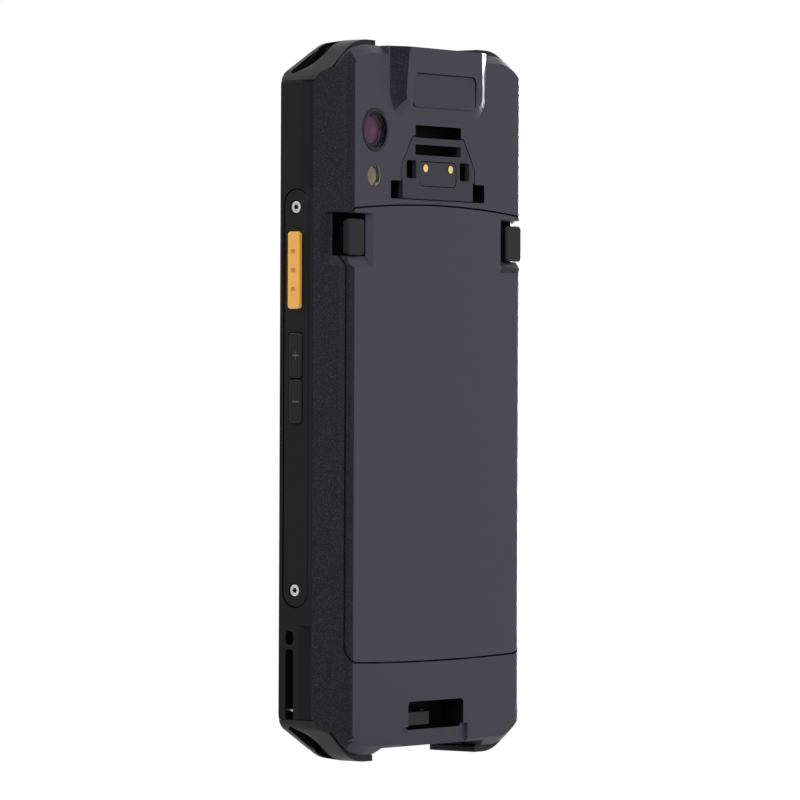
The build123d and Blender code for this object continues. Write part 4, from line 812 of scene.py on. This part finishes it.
@dataclass(frozen=True)
class Dome:
    """A lens element with a bulging front and a flat back, as radii and depths in mm.

    bulge is the front's drop over a quarter turn, and turn the angle in radians that the front takes up.
    """

    radius: float
    front: float
    back: float
    bulge: float
    turn: float
    steps: int

    def profile(self) -> list[tuple[float, float]]:
        """Traces the element from the middle of its front over the rim to the middle of its back.

        Returns:
            Points of radius and depth in mm.
        """
        rim = math.sin(self.turn)
        points = []
        for i in range(self.steps + 1):
            angle = self.turn * i / self.steps
            depth = self.front + self.bulge * (1 - math.cos(angle))
            points.append((self.radius * math.sin(angle) / rim, depth))
        return [*points, (0, self.back)]


@dataclass
class Camera:
    """The back camera with its ring, window and lens, and the flash beside it with its reflector cup.

    The profiles are points of radius and depth.
    """

    lens_mm: tuple[float, float] = (-24.4, 145.0)
    flash_mm: tuple[float, float] = (-24.8, 134.5)
    baffle: tuple[tuple[float, float], ...] = (
        (3.5, 1.12), (3.35, 1.12), (3.05, 1.42), (3.05, 1.6), (3.5, 1.6),
    )
    reflector: tuple[tuple[float, float], ...] = ((2.4, 2.12), (2.3, 2.12), (1.4, 2.7), (2.4, 2.7))
    front_element: Dome = Dome(radius=3.0, front=1.13, back=1.62, bulge=1.3, turn=0.8, steps=8)
    core_element: Dome = Dome(radius=1.3, front=1.08, back=1.5, bulge=0.35, turn=1.2, steps=6)

    def build(self) -> None:
        """Dresses the camera and the flash, and adds the turned pieces behind their windows."""
        refine("camera_ring", Finishes.RING, Body.DEVICE)
        refine("camera_window", Finishes.WINDOW, Body.DEVICE)
        refine("camera_module", Finishes.LENS_BARREL, Body.DEVICE)
        refine("flash_lens", Finishes.FLASH, Body.DEVICE)
        dress("flash_led", Finishes.PHOSPHOR)
        lathe("lens_baffle", Finishes.LENS_BARREL, self.lens_mm, [*self.baffle, self.baffle[0]])
        lathe("lens_front_element", Finishes.LENS, self.lens_mm, self.front_element.profile())
        # Painted reflection: a paler dome stands in for the light the deeper glass sends back.
        lathe("lens_core_element", Finishes.LENS_CORE_REFLECTION, self.lens_mm, self.core_element.profile())
        lathe("flash_reflector", Finishes.REFLECTOR, self.flash_mm, [*self.reflector, self.reflector[0]])


@dataclass
class AccessorySeat:
    """The plate that accessories clip to, with its insert and contact pads."""

    plate_edge_mm: float = 0.15
    insert_edge_mm: float = 0.1

    def build(self) -> None:
        """Dresses the seat."""
        refine("accessory_plate", Finishes.PLATE, Body.DEVICE, self.plate_edge_mm)
        refine("accessory_insert", Finishes.PLATE, Body.DEVICE, self.insert_edge_mm)
        refine("accessory_contacts", Finishes.GOLD, Body.DEVICE)


@dataclass
class StrapAnchor:
    """The anchor bar and its screw in the notch at the foot of the back."""

    bar_edge_mm: float = 0.12
    screw_mm: tuple[float, float] = (1.3, 9.15)
    socket_radius_mm: float = 0.85
    socket_depth_mm: tuple[float, float] = (4.05, 5.0)

    def build(self) -> None:
        """Dresses the anchor."""
        refine("strap_anchor", Finishes.DARK, Body.DEVICE, self.bar_edge_mm)
        screw = refine("strap_screw", Finishes.STEEL, Body.DEVICE)
        # Painted shade: the screw head's socket is drawn near black.
        mark(screw, Finishes.OXIDE_AND_SOCKET_SHADE, self._in_socket)

    def _in_socket(self, face: Facet) -> bool:
        """Says whether a face lies in the screw head's socket."""
        radius = math.hypot(face.x - self.screw_mm[0], face.z - self.screw_mm[1])
        return radius < self.socket_radius_mm and within(face.depth, *self.socket_depth_mm)


@dataclass
class Front:
    """The cover glass and the display behind it."""

    def build(self) -> None:
        """Dresses the front."""
        refine("cover_glass", Finishes.COVER_GLASS, Body.DEVICE)
        dress("display_panel", Finishes.DISPLAY)
        dress("display_gasket", Finishes.GASKET)
        refine("receiver_mesh", Finishes.TIN, Body.DEVICE)
        refine("scan_window", Finishes.SCAN_GLASS, Body.DEVICE)


@dataclass
class Inside:
    """What lies inside the body and shows only through gaps or with the pack tilted out."""

    finishes: dict[str, Finish] = field(
        default_factory=lambda: {
            "scan_engine": Finishes.DARK,
            "scan_engine_mount": Finishes.MAGNESIUM,
            "receiver": Finishes.DARK,
            "front_camera": Finishes.LENS_BARREL,
            "status_light": Finishes.PHOSPHOR,
            "chassis_plate": Finishes.MAGNESIUM,
            "main_board": Finishes.BOARD,
            "chassis_screws": Finishes.STEEL,
            "shield_cans": Finishes.TIN,
            "card_holder": Finishes.TIN,
            "wireless_antenna": Finishes.FLEX,
            "battery_connector": Finishes.DARK,
            "connector_springs": Finishes.GOLD,
            "usb_socket": Finishes.STEEL,
            "speaker": Finishes.DARK,
            "speaker_mesh": Finishes.TIN,
            "microphone": Finishes.TIN,
            "vibration_motor": Finishes.STEEL,
            "key_flex_left": Finishes.FLEX,
            "key_flex_right": Finishes.FLEX,
            "key_domes": Finishes.STEEL,
            "housing_screws": Finishes.OXIDE_AND_SOCKET_SHADE,
        }
    )

    def build(self) -> None:
        """Dresses the inner pieces as they are."""
        for node, finish in self.finishes.items():
            dress(node, finish)


# ---- studio --------------------------------------------------------------------------------------


@dataclass(frozen=True)
class SoftBox:
    """A soft lamp aimed at the object's middle: its place and width in metres, and its power in watts."""

    name: str
    place: tuple[float, float, float]
    width: float
    power: float


@dataclass
class Studio:
    """Floor, light and camera.

    floor_white and world_light are shares of plain white, and box_height is a soft box's height over its
    width. Angles are in degrees, and lens and sensor in millimetres.
    """

    camera_mm: tuple[float, float, float] = (-1000.26, -740.82, 83.14)
    azimuth: float = -53.338
    elevation: float = 0.002
    roll: float = 0.237
    lens: float = 239.75
    sensor: float = 36.0
    floor_size_m: float = 6.0
    floor_white: float = 0.993
    world_light: float = 0.45
    aim_m: tuple[float, float, float] = (0.0, 0.0, 0.083)
    box_height: float = 1.4
    soft_boxes: tuple[SoftBox, ...] = (
        SoftBox("key_box", (-1.2, -0.9, 1.2), 0.9, 12.0),
        SoftBox("strip_box", (-0.6, -1.1, 0.75), 0.3, 2.2),
        SoftBox("edge_box", (1.2, 0.24, 0.15), 0.45, 48.0),
        SoftBox("front_box", (-0.6, 1.4, 1.0), 0.9, 8.0),
    )

    def build(self) -> None:
        """Sets up the whole studio."""
        self._camera()
        self._floor()
        self._world()
        self._lamps()
        bpy.context.scene.view_settings.view_transform = "Standard"

    def _camera(self) -> None:
        """Places the camera by its position, direction and roll."""
        data = bpy.data.cameras.new("camera")
        data.lens = self.lens
        data.sensor_width = self.sensor
        data.clip_start, data.clip_end = 0.05, 50
        obj = bpy.data.objects.new("camera", data)
        bpy.context.scene.collection.objects.link(obj)
        a, e = math.radians(self.azimuth), math.radians(self.elevation)
        back = Vector((math.sin(a) * math.cos(e), -math.cos(a) * math.cos(e), math.sin(e)))
        right = Vector((math.cos(a), math.sin(a), 0))
        up = back.cross(right)
        turn = Matrix((right, up, back)).transposed() @ Matrix.Rotation(math.radians(self.roll), 3, "Z")
        obj.matrix_world = Matrix.Translation(Vector(self.camera_mm) * MM) @ turn.to_4x4()
        bpy.context.scene.camera = obj

    def _floor(self) -> None:
        """A pale floor that shows white to the camera and keeps the object's shadow."""
        mesh = bpy.data.meshes.new("floor")
        half = self.floor_size_m / 2
        corners = [(-half, -half, 0), (half, -half, 0), (half, half, 0), (-half, half, 0)]
        mesh.from_pydata(corners, [], [(0, 1, 2, 3)])
        made = bpy.data.materials.new("floor_pale_board")
        made.use_nodes = True
        tree = made.node_tree
        tree.nodes.clear()
        board = add_node(tree, "ShaderNodeBsdfDiffuse", inputs={"Color": linear("f2f2f2")})
        white = add_node(tree, "ShaderNodeEmission", inputs={"Color": linear("ffffff"), "Strength": 1.0})
        seen = add_node(
            tree,
            "ShaderNodeMath",
            {"operation": "MULTIPLY"},
            {0: self._white_to(tree), 1: self.floor_white},
        ).outputs[0]
        mix = add_node(
            tree, "ShaderNodeMixShader", inputs={0: seen, 1: board.outputs[0], 2: white.outputs[0]}
        )
        add_node(tree, "ShaderNodeOutputMaterial", inputs={0: mix.outputs[0]})
        mesh.materials.append(made)
        obj = bpy.data.objects.new("floor", mesh)
        bpy.context.scene.collection.objects.link(obj)

    def _world(self) -> None:
        """A plain world: white where it is seen or mirrored, softer as light."""
        world = bpy.data.worlds.new("studio")
        bpy.context.scene.world = world
        world.use_nodes = True
        tree = world.node_tree
        tree.nodes.clear()
        lit = add_node(tree, "ShaderNodeBackground", inputs={0: linear("ffffff"), 1: self.world_light})
        seen = add_node(tree, "ShaderNodeBackground", inputs={0: linear("ffffff"), 1: 1.0})
        mix = add_node(
            tree,
            "ShaderNodeMixShader",
            inputs={0: self._white_to(tree), 1: lit.outputs[0], 2: seen.outputs[0]},
        )
        add_node(tree, "ShaderNodeOutputWorld", inputs={0: mix.outputs[0]})

    @staticmethod
    def _white_to(tree: bpy.types.NodeTree) -> bpy.types.NodeSocket:
        """One for rays from the camera and for those that a gloss or glass sends on, else zero.

        Args:
            tree: the floor's or the world's tree.

        Returns:
            The value's socket.
        """
        rays = add_node(tree, "ShaderNodeLightPath")
        bounced = add_node(
            tree,
            "ShaderNodeMath",
            {"operation": "MAXIMUM"},
            {0: rays.outputs["Is Glossy Ray"], 1: rays.outputs["Is Transmission Ray"]},
        ).outputs[0]
        return add_node(
            tree, "ShaderNodeMath", {"operation": "MAXIMUM"}, {0: rays.outputs["Is Camera Ray"], 1: bounced}
        ).outputs[0]

    def _lamps(self) -> None:
        """Soft boxes round the object, aimed at its middle."""
        aim = Vector(self.aim_m)
        for box in self.soft_boxes:
            data = bpy.data.lights.new(box.name, "AREA")
            data.shape = "RECTANGLE"
            data.size = box.width
            data.size_y = box.width * self.box_height
            data.energy = box.power
            obj = bpy.data.objects.new(box.name, data)
            bpy.context.scene.collection.objects.link(obj)
            obj.location = box.place
            obj.rotation_euler = (aim - Vector(box.place)).to_track_quat("-Z", "Y").to_euler()


def main() -> None:
    """Builds every sub-assembly round the frame, then the studio."""
    logging.basicConfig(level=logging.INFO, format="%(name)s: %(message)s")
    FRAME.update(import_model())
    for assembly in (
        BackCase(), Frame(), Keys(), Pack(), Camera(), AccessorySeat(), StrapAnchor(), Front(), Inside(),
    ):
        assembly.build()
        LOG.info("built %s", type(assembly).__name__)
    Studio().build()


if __name__ == "__main__":
    main()
